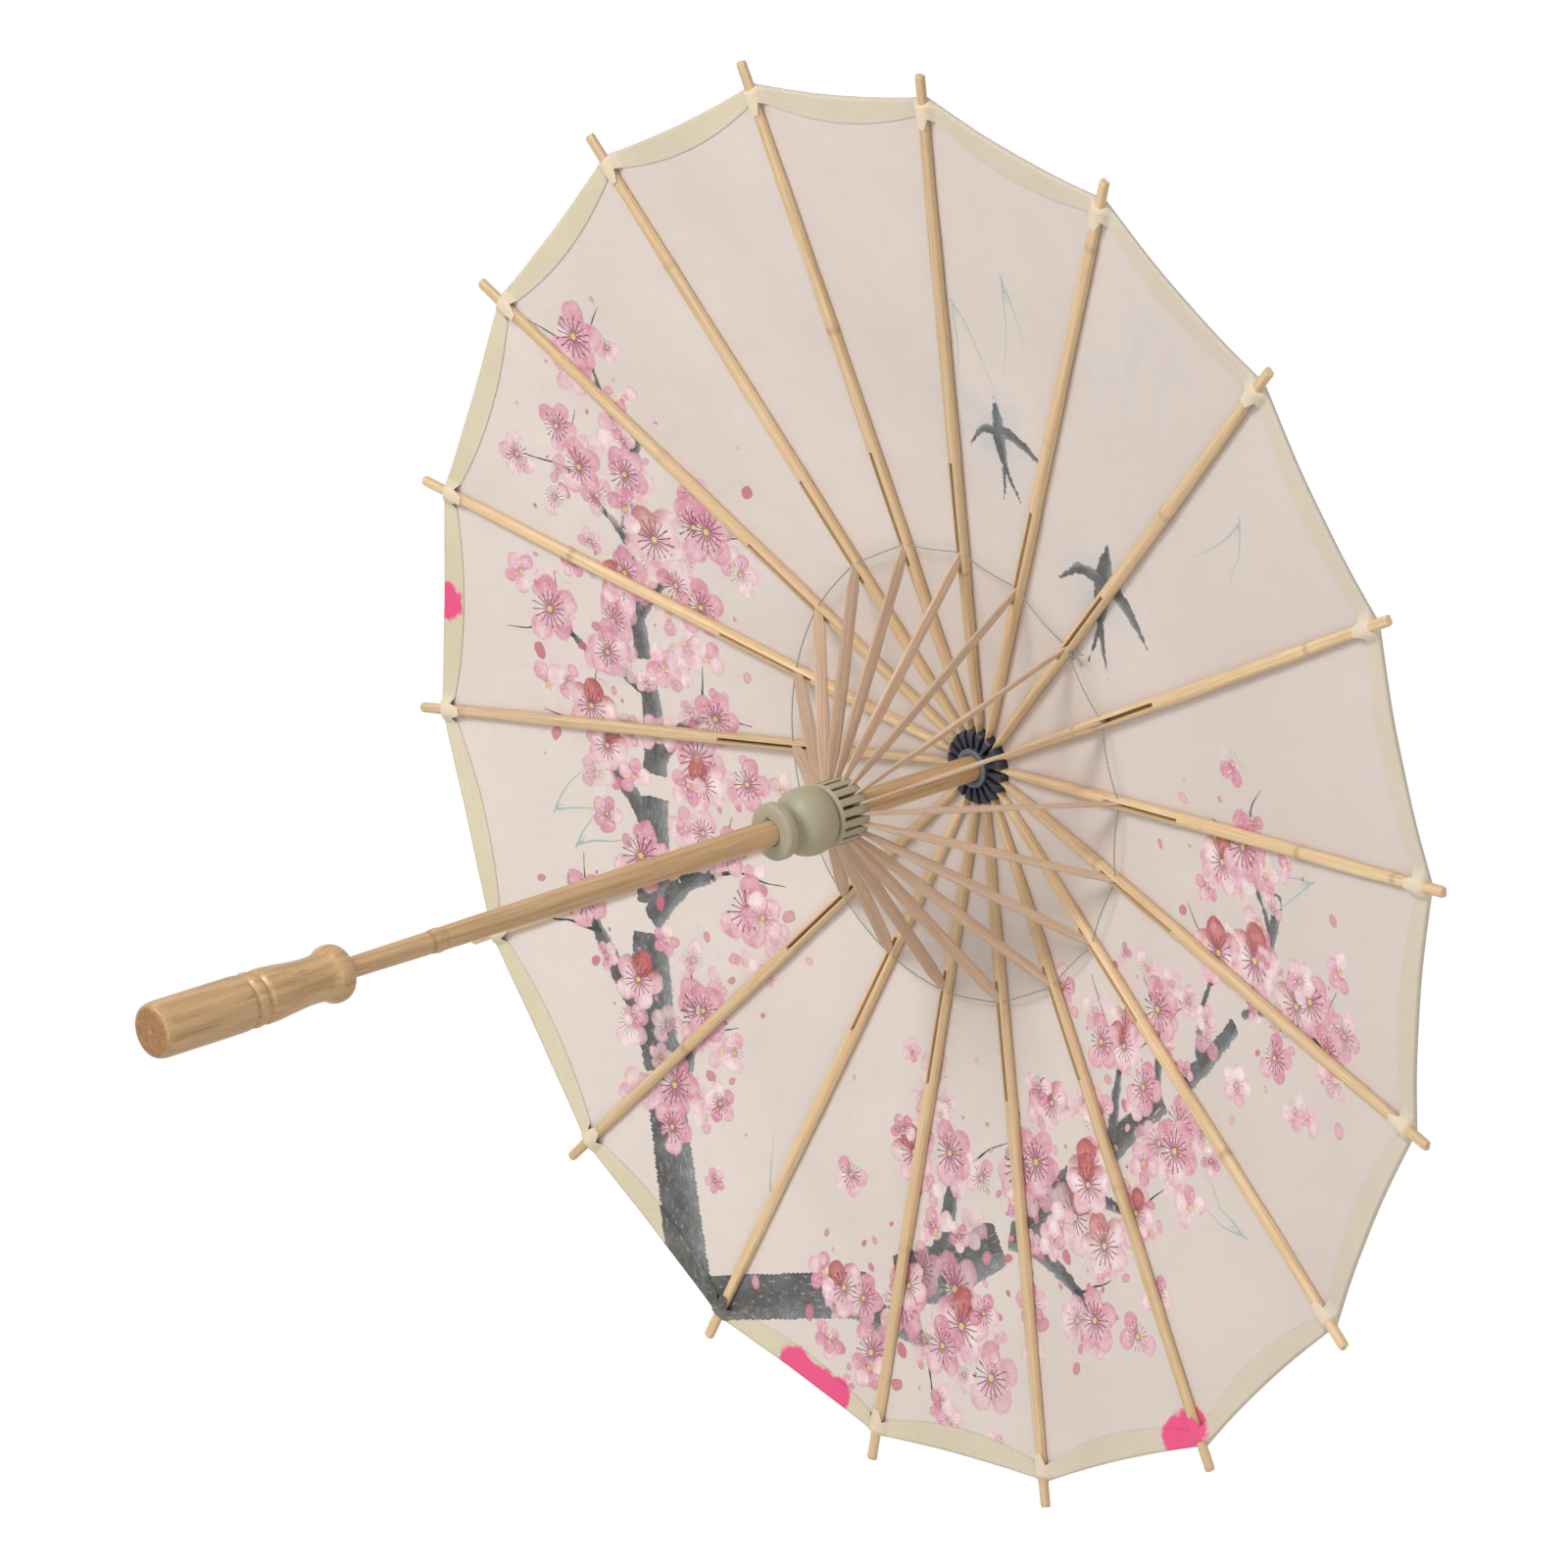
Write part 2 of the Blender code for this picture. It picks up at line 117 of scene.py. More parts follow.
def join(value, target):
    """Link an output socket to an input of the same node tree."""
    value.id_data.links.new(value, target)


def feed(target, value):
    """Give an input a link when the value is a socket, or else a plain value."""
    if isinstance(value, bpy.types.NodeSocket):
        join(value, target)
    else:
        target.default_value = value


def node(tree, kind, *inputs, **settings):
    """Add a node. Inputs come in order, or by name in one dictionary; None skips one."""
    made = tree.nodes.new("ShaderNode" + kind)
    for key, value in settings.items():
        setattr(made, key, value)
    named = inputs[0].items() if inputs and isinstance(inputs[0], dict) else enumerate(inputs)
    for key, value in named:
        if value is not None:
            feed(made.inputs[key], value)
    return made


scene = bpy.context.scene
scene.view_settings.view_transform = "Standard"
world = bpy.data.worlds.new("white_room")
world.use_nodes = True
scene.world = world
room = world.node_tree
room.nodes.clear()
path = node(room, "LightPath")
lit = node(room, "Background", (1.0, 0.99, 0.985, 1.0), ROOM_LIGHT)
seen = node(room, "Background", (1.0, 1.0, 1.0, 1.0), 1.0)
choice = node(room, "MixShader", path.outputs["Is Camera Ray"], lit.outputs[0], seen.outputs[0])
node(room, "OutputWorld", choice.outputs[0])


def lamp(name, place, power, size):
    """A square area lamp that faces the umbrella."""
    data = bpy.data.lights.new(name, "AREA")
    data.energy, data.size, data.color = power, size, (1.0, 0.985, 0.965)
    made = bpy.data.objects.new(name, data)
    made.location = place
    made.rotation_euler = (Vector(place) - aim).to_track_quat("Z", "Y").to_euler()
    scene.collection.objects.link(made)


lamp("key_lamp", aim + 1.5 * back + 1.2 * up - 1.5 * right, 46.0, 1.1)
lamp("fill_lamp", aim + 2.2 * back - 1.2 * up + 0.3 * right, 9.0, 1.6)
lamp("top_lamp", Vector((-0.8, -0.9, 2.6)), 34.0, 1.6)

floor_mesh = bpy.data.meshes.new("floor")
floor_mesh.from_pydata([(x * FLOOR_HALF, y * FLOOR_HALF, FLOOR_Z)
                        for x, y in ((-1, -1), (1, -1), (1, 1), (-1, 1))], [], [(0, 1, 2, 3)])
floor = bpy.data.objects.new("floor", floor_mesh)
scene.collection.objects.link(floor)
pale = bpy.data.materials.new("pale_floor")
pale.use_nodes = True
tree = pale.node_tree
tree.nodes.clear()
seen_by = node(tree, "LightPath")
lift = node(tree, "Emission", (1.0, 1.0, 1.0, 1.0),
            node(tree, "Math", seen_by.outputs["Is Camera Ray"], FLOOR_LIFT,
                 operation="MULTIPLY").outputs[0])
matt = node(tree, "BsdfDiffuse", srgb(240, 239, 236))
plain = node(tree, "AddShader", matt.outputs[0], lift.outputs[0])
clear = node(tree, "BsdfTransparent")
side = node(tree, "NewGeometry")
both = node(tree, "MixShader", side.outputs["Backfacing"], plain.outputs[0], clear.outputs[0])
node(tree, "OutputMaterial", both.outputs[0])
floor_mesh.materials.append(pale)

# %% [markdown]
# Every new piece is a grid of points: rows along a path, and points round each row. One
# helper turns such a grid into a mesh. It joins the last point of a row to the first, and
# either joins the last row to the first or closes each end with a fan, so nothing is open.

# %% From a grid of points to a mesh
def mesh_object(name, points, faces, finish, smooth=True):
    """An object at the origin from points and equal-sided faces, both whole arrays."""
    mesh = bpy.data.meshes.new(name)
    faces = [f for f in faces if len(f)]
    corners = np.concatenate([f.ravel() for f in faces]).astype(np.int32)
    sizes = np.concatenate([np.full(len(f), f.shape[1]) for f in faces])
    starts = np.concatenate([[0], np.cumsum(sizes)[:-1]]).astype(np.int32)
    mesh.vertices.add(len(points))
    mesh.vertices.foreach_set("co", np.asarray(points, np.float32).ravel())
    mesh.loops.add(len(corners))
    mesh.loops.foreach_set("vertex_index", corners)
    mesh.polygons.add(len(sizes))
    mesh.polygons.foreach_set("loop_start", starts)
    mesh.polygons.foreach_set("use_smooth", np.full(len(sizes), smooth))
    mesh.update(calc_edges=True)
    mesh.materials.append(finish)
    made = bpy.data.objects.new(name, mesh)
    scene.collection.objects.link(made)
    return made


def belongs(made, body, replaced=None):
    """Tie a piece to the body it rides, and hide the node that it replaces."""
    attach(made, body)
    if replaced:
        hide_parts(replaced)


def tube_faces(rows, across, loop=False):
    """Faces of a closed grid: each quad joins two points of one row to two of the next.
    Without loop, a fan of triangles closes each end on one extra point."""
    i = np.arange(rows if loop else rows - 1)[:, None]
    j = np.arange(across)[None, :]
    k, after = (j + 1) % across, (i + 1) % rows
    quads = np.stack([i * across + j, i * across + k, after * across + k,
                      after * across + j], -1).reshape(-1, 4)
    if loop:
        return [quads]
    first, last, base = rows * across, rows * across + 1, (rows - 1) * across
    j, k = j[0], k[0]
    low = np.stack([k, j, np.full(across, first)], -1)
    high = np.stack([base + j, base + k, np.full(across, last)], -1)
    return [quads, low, high]


def tube(name, grid, finish, loop=False):
    """A closed piece from a grid of rows x points x 3."""
    rows, across = grid.shape[:2]
    points = grid.reshape(-1, 3)
    if not loop:
        points = np.concatenate([points, grid[:1].mean(1), grid[-1:].mean(1)])
    return mesh_object(name, points, tube_faces(rows, across, loop), finish)


def keep(made, name, values):
    """Store one value, or one triple, for each point of a piece under a name."""
    kind = "FLOAT_VECTOR" if np.ndim(values) == 2 else "FLOAT"
    layer = made.data.attributes.new(name, kind, "POINT")
    layer.data.foreach_set("vector" if np.ndim(values) == 2 else "value",
                           np.asarray(values, np.float32).ravel())


def soft_line(points, steps=8):
    """A curve through points: each step is a cubic whose slopes come from its neighbours.
    A point given twice stays a sharp corner."""
    p = np.asarray(points, float)
    p = np.concatenate([2 * p[:1] - p[1:2], p, 2 * p[-1:] - p[-2:-1]])
    t = np.linspace(0, 1, steps, endpoint=False)[:, None, None]
    a, b, c, d = p[:-3], p[1:-2], p[2:-1], p[3:]
    m0, m1 = 0.5 * (c - a), 0.5 * (d - b)
    curve = ((2 * t**3 - 3 * t**2 + 1) * b + (t**3 - 2 * t**2 + t) * m0
             + (3 * t**2 - 2 * t**3) * c + (t**3 - t**2) * m1)
    out = np.concatenate([np.swapaxes(curve, 0, 1).reshape(-1, p.shape[1]), p[-2:-1]])
    step = np.linalg.norm(np.diff(out, axis=0), axis=1)
    return out[np.concatenate([[True], step > 1e-6])]


def polar(r, a, z):
    """Points at radius r, angle a and height z: x = r cos a, y = r sin a."""
    return np.stack([r * np.cos(a), r * np.sin(a), z + 0 * a], -1)


def turned(profile, sides=96):
    """Carry a profile of (radius, height) round the axis."""
    a = np.linspace(0, 2 * math.pi, sides, endpoint=False)[None, :]
    return polar(profile[:, :1], a, profile[:, 1:])


print("a grid of 4 x 6 has", sum(len(f) for f in tube_faces(4, 6)), "faces")

# %% [markdown]
# Bamboo and turned wood share one look: long fibres with fine dark pores between them. The
# group stretches a noise along the grain, and gives out a slow streak and a fine one. The
# pieces store grain coordinates with the grain along z, so it follows ribs at any angle.

# %% Shader tools and the fibre group
def tree_of(*values):
    """The node tree that holds the first socket among the values."""
    return next(v.id_data for v in values if isinstance(v, bpy.types.NodeSocket))


def calc(operation, *inputs, clamp=False):
    """One arithmetic step, as a socket."""
    return node(tree_of(*inputs), "Math", *inputs, operation=operation,
                use_clamp=clamp).outputs[0]


def times(one, other, clamp=False):
    """One value times the other."""
    return calc("MULTIPLY", one, other, clamp=clamp)


def scaled(value, factor, offset):
    """A value times a factor, plus an offset."""
    return calc("MULTIPLY_ADD", value, factor, offset)


def root_of_squares(one, other):
    """The square root of the sum of two squares."""
    return calc("SQRT", calc("ADD", calc("POWER", one, 2.0), calc("POWER", other, 2.0)))


def ranged(value, low, high, to_low=0.0, to_high=1.0):
    """Map low..high to a new range, held at its ends."""
    return node(value.id_data, "MapRange", value, low, high, to_low, to_high).outputs[0]


def mixed(share, one, other, mode="MIX"):
    """Mix two colours by a share, as a socket."""
    made = node(tree_of(share, one, other), "Mix", data_type="RGBA", blend_type=mode)
    for key, value in ((0, share), (6, one), (7, other)):
        feed(made.inputs[key], value)
    return made.outputs[2]


def noise(place, scale, detail=3.0, rough=0.5):
    """Noise from 0 to 1 at a place."""
    made = node(place.id_data, "TexNoise", {"Vector": place, "Scale": scale,
                                            "Detail": detail, "Roughness": rough})
    return made.outputs[0]


def stored(tree, name, output="Vector"):
    """A value that the piece stores for each point."""
    return node(tree, "Attribute", attribute_name=name).outputs[output]


def surface(bsdf, rough, strength, distance, height):
    """Join a roughness and a bump to the inputs of a Principled shader."""
    bump = node(rough.id_data, "Bump", {"Strength": strength, "Distance": distance,
                                        "Height": height})
    join(rough, bsdf["Roughness"])
    join(bump.outputs[0], bsdf["Normal"])


def new_group(name, inputs, outputs):
    """A shader group with named sockets; gives its tree, its inputs and its outputs."""
    tree = bpy.data.node_groups.new(name, "ShaderNodeTree")
    for label, kind, value in inputs:
        socket = tree.interface.new_socket(label, in_out="INPUT",
                                           socket_type="NodeSocket" + kind)
        socket.default_value = value
    for label, kind in outputs:
        tree.interface.new_socket(label, in_out="OUTPUT", socket_type="NodeSocket" + kind)
    source = tree.nodes.new("NodeGroupInput").outputs
    return tree, source, tree.nodes.new("NodeGroupOutput").inputs


def use(tree, group, **values):
    """Place a group in a material; underscores in a name stand for spaces."""
    made = node(tree, "Group", node_tree=group)
    for key, value in values.items():
        feed(made.inputs[key.replace("_", " ")], value)
    return made.outputs


fibres, given, out = new_group(
    "fibre_grain",
    [("Place", "Vector", (0, 0, 0)), ("Across", "Float", 900.0), ("Stretch", "Float", 0.02)],
    [("Streak", "Float"), ("Pore", "Float")])
squeeze = node(fibres, "CombineXYZ", 1.0, 1.0, given["Stretch"])
long_place = node(fibres, "VectorMath", given["Place"], squeeze.outputs[0],
                  operation="MULTIPLY").outputs[0]
slow = noise(long_place, given["Across"], 4.0, 0.6)
fine_scale = times(given["Across"], 3.2)
fine = noise(long_place, fine_scale, 2.0, 0.5)
join(ranged(slow, 0.32, 0.68), out["Streak"])
join(ranged(fine, 0.60, 0.74), out["Pore"])

# %% [markdown]
# Edges that hands and other pieces rub lose their finish first. The wear and shade group reads
# how sharply the surface turns at a point and breaks that up with a noise. Its mask is high on
# edges, and its second mask is high in hollows, where it paints shade.

# %% Wear and hollow shade group, and mottling group
wear_and_shade_group, given, out = new_group(
    "edge_wear_and_hollow_shade", [("Place", "Vector", (0, 0, 0)), ("Amount", "Float", 1.0)],
    [("Edge", "Float"), ("Hollow Shade", "Float")])
sharp = node(wear_and_shade_group, "NewGeometry").outputs["Pointiness"]
patch = noise(given["Place"], 260.0, 4.0)
edge = times(ranged(sharp, 0.52, 0.60), ranged(patch, 0.3, 0.7))
join(times(edge, given["Amount"], clamp=True), out["Edge"])
# The second mask is painted shade: it darkens hollows where the surface turns inwards.
join(ranged(sharp, 0.49, 0.42), out["Hollow Shade"])

mottle, given, out = new_group(
    "mottling", [("Place", "Vector", (0, 0, 0)), ("Scale", "Float", 60.0)],
    [("Cloud", "Float"), ("Speck", "Float")])
cloud = noise(given["Place"], given["Scale"], 5.0, 0.55)
speck = noise(given["Place"], times(given["Scale"], 9.0), 2.0)
join(ranged(cloud, 0.3, 0.7), out["Cloud"])
join(ranged(speck, 0.62, 0.72), out["Speck"])
print("groups:", [g.name for g in bpy.data.node_groups])

# %% [markdown]
# The wooden finishes differ in colour, fibre width and varnish. One function builds them:
# a pale and a dark fibre colour, thin dark pores, worn edges, painted shade in hollows, and a
# bump from the same fibres. Each piece stores a tone, so no two ribs have quite the same colour.

# %% Wood and bamboo finishes
def finish_start(name, **shader):
    """A new material with a Principled shader whose plain values are set on it."""
    made = bpy.data.materials.new(name)
    made.use_nodes = True
    tree = made.node_tree
    bsdf = tree.nodes["Principled BSDF"]
    for key, value in shader.items():
        bsdf.inputs[key.replace("_", " ")].default_value = value
    return made, tree, bsdf.inputs


def wood(name, pale, dark, pore_and_shade_colour, across, stretch, rough, depth, end_grain=0.0, **shader):
    """A fibrous finish: streaks from pale to dark, pores, worn edges and a fibre bump.
    End grain, where the piece was sawn across at its foot, drinks varnish and is darker."""
    made, tree, bsdf = finish_start(name, **shader)
    place = stored(tree, "grain")
    tone = stored(tree, "tone", "Fac")
    grain = use(tree, fibres, Place=place, Across=across, Stretch=stretch)
    spots = use(tree, mottle, Place=place, Scale=45.0)
    wear_and_shade_masks = use(tree, wear_and_shade_group, Place=place, Amount=0.6)
    colour = mixed(grain["Streak"], pale, dark)
    colour = mixed(times(spots["Cloud"], 0.22), colour, dark)
    colour = mixed(times(grain["Pore"], 0.45), colour, pore_and_shade_colour)
    # Painted shade: hollows are darkened towards the pore colour.
    colour = mixed(times(wear_and_shade_masks["Hollow Shade"], 0.55), colour, pore_and_shade_colour)
    colour = mixed(times(wear_and_shade_masks["Edge"], 0.35), colour, srgb(240, 214, 172))
    shade = node(tree, "HueSaturation", {"Value": ranged(tone, 0, 1, 0.86, 1.12),
                                         "Color": colour}).outputs[0]
    if end_grain:
        height = node(tree, "SeparateXYZ", place).outputs[2]
        foot_face = ranged(height, 0.0008, 0.0, 0.0, end_grain)
        shade = mixed(foot_face, shade, dark, "MULTIPLY")
    band = times(stored(tree, "ring", "Fac"), 0.42)
    colour = mixed(band, shade, pore_and_shade_colour)
    join(colour, bsdf["Base Color"])
    surface(bsdf, ranged(grain["Streak"], 0, 1, rough - 0.08, rough + 0.10), 0.5, depth,
            calc("SUBTRACT", grain["Streak"], grain["Pore"]))
    return made


handle_wood = wood("lacquered_wood", srgb(212, 178, 132), srgb(182, 141, 95),
                   srgb(112, 76, 44), 420.0, 0.05, 0.40, 0.00006, 0.70,
                   Coat_Weight=0.35, Coat_Roughness=0.22)
pole_bamboo = wood("shaft_bamboo", srgb(222, 187, 144), srgb(184, 147, 105),
                   srgb(104, 68, 38), 700.0, 0.02, 0.44, 0.00006,
                   Coat_Weight=0.18, Coat_Roughness=0.30)
rib_bamboo = wood("rib_bamboo", srgb(232, 206, 168), srgb(206, 173, 130),
                  srgb(146, 106, 64), 1100.0, 0.015, 0.55, 0.00005)
strip_bamboo = wood("strip_bamboo", srgb(227, 202, 180), srgb(199, 168, 142),
                    srgb(150, 112, 80), 1300.0, 0.015, 0.60, 0.00005)
print("wood finishes:", [m.name for m in bpy.data.materials])

# %% [markdown]
# The collar and the crown are moulded plastic: a flat colour in life, yet with a faint
# cloudiness, specks, paler rubbed edges and painted grey shade in the corners. The wire that
# threads the hinges and the catch are steel, and the ring through the ribs is twisted cotton
# thread.

# %% Plastic, steel and thread finishes
def plastic(name, main, edge_colour, speck_and_shade_colour, rough, **shader):
    """Moulded plastic: clouds and specks in the colour, pale worn edges, painted shade in hollows.
    """
    made, tree, bsdf = finish_start(name, **shader)
    place = node(tree, "TexCoord").outputs["Object"]
    spots = use(tree, mottle, Place=place, Scale=180.0)
    wear_and_shade_masks = use(tree, wear_and_shade_group, Place=place, Amount=0.8)
    colour = mixed(times(spots["Cloud"], 0.16), main, edge_colour)
    colour = mixed(times(wear_and_shade_masks["Edge"], 0.6), colour, edge_colour)
    # Painted shade: hollows and corners are darkened towards the dark colour.
    colour = mixed(times(wear_and_shade_masks["Hollow Shade"], 0.7), colour, speck_and_shade_colour)
    colour = mixed(times(spots["Speck"], 0.25), colour, speck_and_shade_colour)
    join(colour, bsdf["Base Color"])
    surface(bsdf, ranged(spots["Cloud"], 0, 1, rough - 0.05, rough + 0.08), 0.3, 0.00004,
            spots["Cloud"])
    return made


sage = plastic("sage_plastic", srgb(168, 161, 136), srgb(192, 186, 162), srgb(98, 94, 74), 0.44)
charcoal = plastic("charcoal_plastic", srgb(46, 47, 60), srgb(100, 102, 116),
                   srgb(20, 20, 27), 0.38)
hub_grey = plastic("hub_grey_plastic", srgb(98, 100, 110), srgb(132, 134, 142),
                   srgb(50, 50, 58), 0.42)
steel = plastic("spring_steel", srgb(172, 172, 174), srgb(214, 214, 214),
                srgb(98, 92, 86), 0.30, Metallic=0.9)
thread, tree, bsdf = finish_start("ring_thread", Sheen_Weight=0.2)
place = stored(tree, "grain")
twist = node(tree, "TexWave", {"Vector": place, "Scale": 420.0, "Distortion": 1.0},
             wave_type="BANDS", bands_direction="DIAGONAL").outputs[1]
join(mixed(twist, srgb(96, 112, 104), srgb(170, 182, 170)), bsdf["Base Color"])
surface(bsdf, ranged(twist, 0, 1, 0.7, 0.9), 0.6, 0.00008, twist)
print("all finishes:", len(bpy.data.materials))

# %% [markdown]
# The handle is one piece of turned wood: a rounded foot, two grooves with a bead between
# them, a waist for the fingers and a flared collar, with a hole for the stick. A lathe
# makes it, and so does carrying its outline round the axis. The outline goes up the
# outside, down the hole and is closed at both ends; points given twice stay crisp.

# %% Handle
MM = 0.001
handle_outline = soft_line(np.array([
    (0.6, 0), (7.4, 0), (8.6, 0.2), (9.6, 0.9), (10.2, 2.7), (10.4, 5), (10.4, 15),
    (10.4, 25), (10.38, 33), (10.3, 39.4), (10.0, 40.7), (9.1, 41.6), (8.9, 42.0),
    (9.1, 42.4), (10.0, 43.3), (10.3, 44.8), (10.0, 46.3), (9.1, 47.2), (8.9, 47.6),
    (9.1, 48.0), (9.9, 48.9), (10.2, 50), (10, 54.5), (9.5, 59.5), (8.9, 65), (8.6, 69),
    (8.55, 73), (8.8, 76.4), (9.6, 78.7), (10.5, 80.4), (10.8, 82.4), (10.4, 84.7), (9.3, 86.3),
    (7.6, 86.9), (5.4, 86.95), (4.5, 86.6), (4.3, 85.6), (4.3, 85.6), (4.3, 56.2),
    (4.2, 55.8), (0.5, 55.7)]) * MM, 6)


def wooden(made, points, tone, ring=0.0):
    """Store the grain coordinates, the tone and the strength of node rings of a piece."""
    count = len(made.data.vertices)
    place = np.zeros((count, 3))
    place[:len(points)] = points
    place[len(points):] = points[-1]
    keep(made, "grain", place)
    keep(made, "tone", np.full(count, tone))
    marks = np.zeros(count)
    marks[:len(points)] = ring
    keep(made, "ring", marks)


grid = turned(handle_outline, 112)
handle = tube("turned_handle", grid, handle_wood)
wooden(handle, grid.reshape(-1, 3) + [0.2, 0, 0], 0.62)
belongs(handle, "stick", "handle")
print("handle rows and sides:", grid.shape[:2])

# %% [markdown]
# The stick is a thin bamboo cane that widens towards the top, with one node ring a little
# above the handle and faint ridges where leaf sheaths sat. It is turned like the handle,
# then swollen and bent a hair by slow waves so that it isn't a perfect rod. A narrow pocket
# for the catch is pressed into one side: the points inside its outline move to its floor.

# %% Stick
NODE_Z, UPPER_NODE_Z = 0.1310, 0.2350
POCKET_LOW, POCKET_HIGH, POCKET_FLOOR = 0.2797, 0.30018, 0.0005
z = np.concatenate([np.linspace(0.0562, 0.2785, 150), [0.27975, 0.2798],
                    np.linspace(0.2802, 0.2998, 12), [0.30015, 0.3002],
                    np.linspace(0.3006, 0.4198, 60)])
radius = np.interp(z, [0.056, 0.090, 0.105, 0.128, 0.134, 0.143, 0.220, 0.290, 0.42],
                   np.array([3.9, 3.9, 4.0, 4.2, 4.3, 4.4, 4.8, 5.1, 5.05]) * MM)
swell = 0.38 * MM * np.exp(-((z - NODE_Z) / 0.0021) ** 2)
pinch = 0.16 * MM * np.exp(-((z - NODE_Z + 0.0040) / 0.0012) ** 2)
upper_node = 0.10 * MM * np.exp(-((z - UPPER_NODE_Z) / 0.0016) ** 2)
radius = radius + swell - pinch + upper_node
half_angle = math.asin(1.1 / 5.1)
a = np.concatenate([[-half_angle - 0.004, -half_angle], np.linspace(-0.16, 0.16, 5),
                    [half_angle, half_angle + 0.004],
                    np.linspace(half_angle + 0.06, 2 * math.pi - half_angle - 0.06, 78)])
waves = 1 + 0.006 * np.sin(3 * a[None, :] + 9 * z[:, None] / 0.1) * (z[:, None] > 0.09)
grid = polar(radius[:, None] * waves, a, z[:, None])
over_pocket = (z > POCKET_LOW) & (z < POCKET_HIGH)
pocket = over_pocket[:, None] & (np.abs(a) <= half_angle + 1e-6)[None, :]
grid[..., 0] = np.where(pocket, POCKET_FLOOR, grid[..., 0])
stick = tube("bamboo_stick", grid, pole_bamboo)
marks = sum(strength * np.exp(-((z - at) / width) ** 2) for strength, at, width in (
    (1.0, NODE_Z - 0.0032, 0.0007), (0.5, UPPER_NODE_Z + 0.0012, 0.0005),
    (0.8, NODE_Z + 0.0024, 0.0005)))
wooden(stick, grid.reshape(-1, 3), 0.5, np.repeat(np.clip(marks, 0, 1), len(a)))
belongs(stick, "stick", "shaft")
print("stick length in mm:", round(1000 * float(z[-1] - z[0])))

# %% [markdown]
# The runner slides on the stick and the top notch is fixed to it. Both are moulded collars
# with 18 narrow slots that take the ends of the stretchers and ribs. Each is turned from
# two outlines with the same number of points: one through the solid and one through a
# slot. Columns of points switch from one outline to the other at the slots' edges. At
# radius r an edge lies at the angle whose sine is half the slot's width over r, which
# keeps the walls parallel. Points of the two columns that meet are merged afterwards.

# %% Slotted collars
RUNNER_SLOT, NOTCH_SLOT = 0.0014, 0.0019
FLAT_EDGE = math.radians(38)


def slotted(name, solid, slot, width, finish):
    """A collar turned from a solid and a slot outline, which switch at each slot's edges."""
    share = np.concatenate([np.zeros(5), np.linspace(0, 1, 6)])
    within = np.array([-1.0, -0.5, 0.0, 0.5, 1.0])
    in_slot = np.arange(11) < 5
    outline = np.where(in_slot[None, :, None], slot[:, None], solid[:, None])
    r, z = outline[..., 0], outline[..., 1]
    half = np.arcsin(np.clip(0.5 * width / r, 0, 1))
    angle = np.where(in_slot, np.concatenate([within, np.zeros(6)]) * half,
                     half + share * (PITCH - 2 * half))
    turns = PITCH * np.arange(COUNT)[None, :, None]
    angle = (angle[:, None, :] + turns).reshape(len(solid), -1)
    r, z = np.tile(r, (1, COUNT)), np.tile(z, (1, COUNT))
    made = tube(name, polar(r, angle, z), finish, loop=True)
    work = bmesh.new()
    work.from_mesh(made.data)
    bmesh.ops.remove_doubles(work, verts=work.verts, dist=2e-6)
    bmesh.ops.dissolve_degenerate(work, dist=1e-6, edges=work.edges)
    work.to_mesh(made.data)
    work.free()
    made.data.set_sharp_from_angle(angle=FLAT_EDGE)
    return made


def outline_mm(points, origin_z):
    """An outline given in mm as (radius, height above origin_z), in metres."""
    return np.array(points, float) * MM + [0, origin_z]


bell = [(8.5 + 4.9 * math.cos(t), -17.3 + 8.2 * math.sin(t))
        for t in np.radians(np.linspace(-66, 62, 16))]
foot = [(5.4, -35.9), (7.6, -35.9), (10.2, -35.9), (10.9, -35.5), (11.2, -34.8),
        (11.2, -32.2), (10.9, -31.4), (10.2, -30.8), (9.0, -30.6), (8.6, -30.0),
        (8.5, -28.6), (8.7, -26.6)]
head = [(11.2, -9.9), (11.9, -9.75), (12.35, -9.4), (12.6, -8.8)]
bore = [(6.4, 4.6), (5.6, 4.4), (5.4, 4.2), (5.4, -10.0)]
runner_solid = foot + bell + head + [
    (12.6, -7.9), (12.6, -3.5), (12.6, 0.5), (12.6, 3.6), (12.3, 4.2), (11.6, 4.6),
    (9.5, 4.6), (7.2, 4.6)] + bore
runner_slot = foot + bell + head + [
    (12.55, -8.6), (9.8, -8.4), (8.4, -7.6), (7.3, -5.0), (7.3, -1.0), (7.3, 3.4),
    (7.25, 4.4), (7.1, 4.6)] + bore
runner = slotted("sliding_runner", outline_mm(runner_solid, RUN_Z),
                 outline_mm(runner_slot, RUN_Z), RUNNER_SLOT, sage)
belongs(runner, "runner", "runner")

base = [(5.4, -3.6), (5.8, -4.0), (7.2, -4.0)]
crown = [(14.8, 2.9), (14.8, 3.6), (14.4, 4.2), (13.6, 4.5), (9.0, 4.5), (5.4, 4.5), (5.4, 0.0)]
notch_solid = base + [(8.0, -3.9), (8.3, -3.6), (10.5, -3.7), (13.2, -3.8), (14.2, -3.4),
                      (14.7, -2.6), (14.8, -1.0), (14.8, 1.0)] + crown
notch_slot = base + [(7.8, -3.9), (8.0, -3.5), (8.0, -1.5), (8.0, 0.8), (8.0, 2.4),
                     (8.3, 2.85), (9.5, 2.9), (12.0, 2.9)] + crown
notch = slotted("notched_crown", outline_mm(notch_solid, HINGE_Z),
                outline_mm(notch_slot, HINGE_Z), NOTCH_SLOT, charcoal)
belongs(notch, "stick", "top_notch")
print("runner points:", len(runner.data.vertices), "notch points:", len(notch.data.vertices))

# %% [markdown]
# Small turned parts finish the middle: the crown cap with its round knob above the cloth, a
# grey washer under the notch, and two wire rings, each a circle carried round the axis,
# on which the ribs and the stretchers hinge.

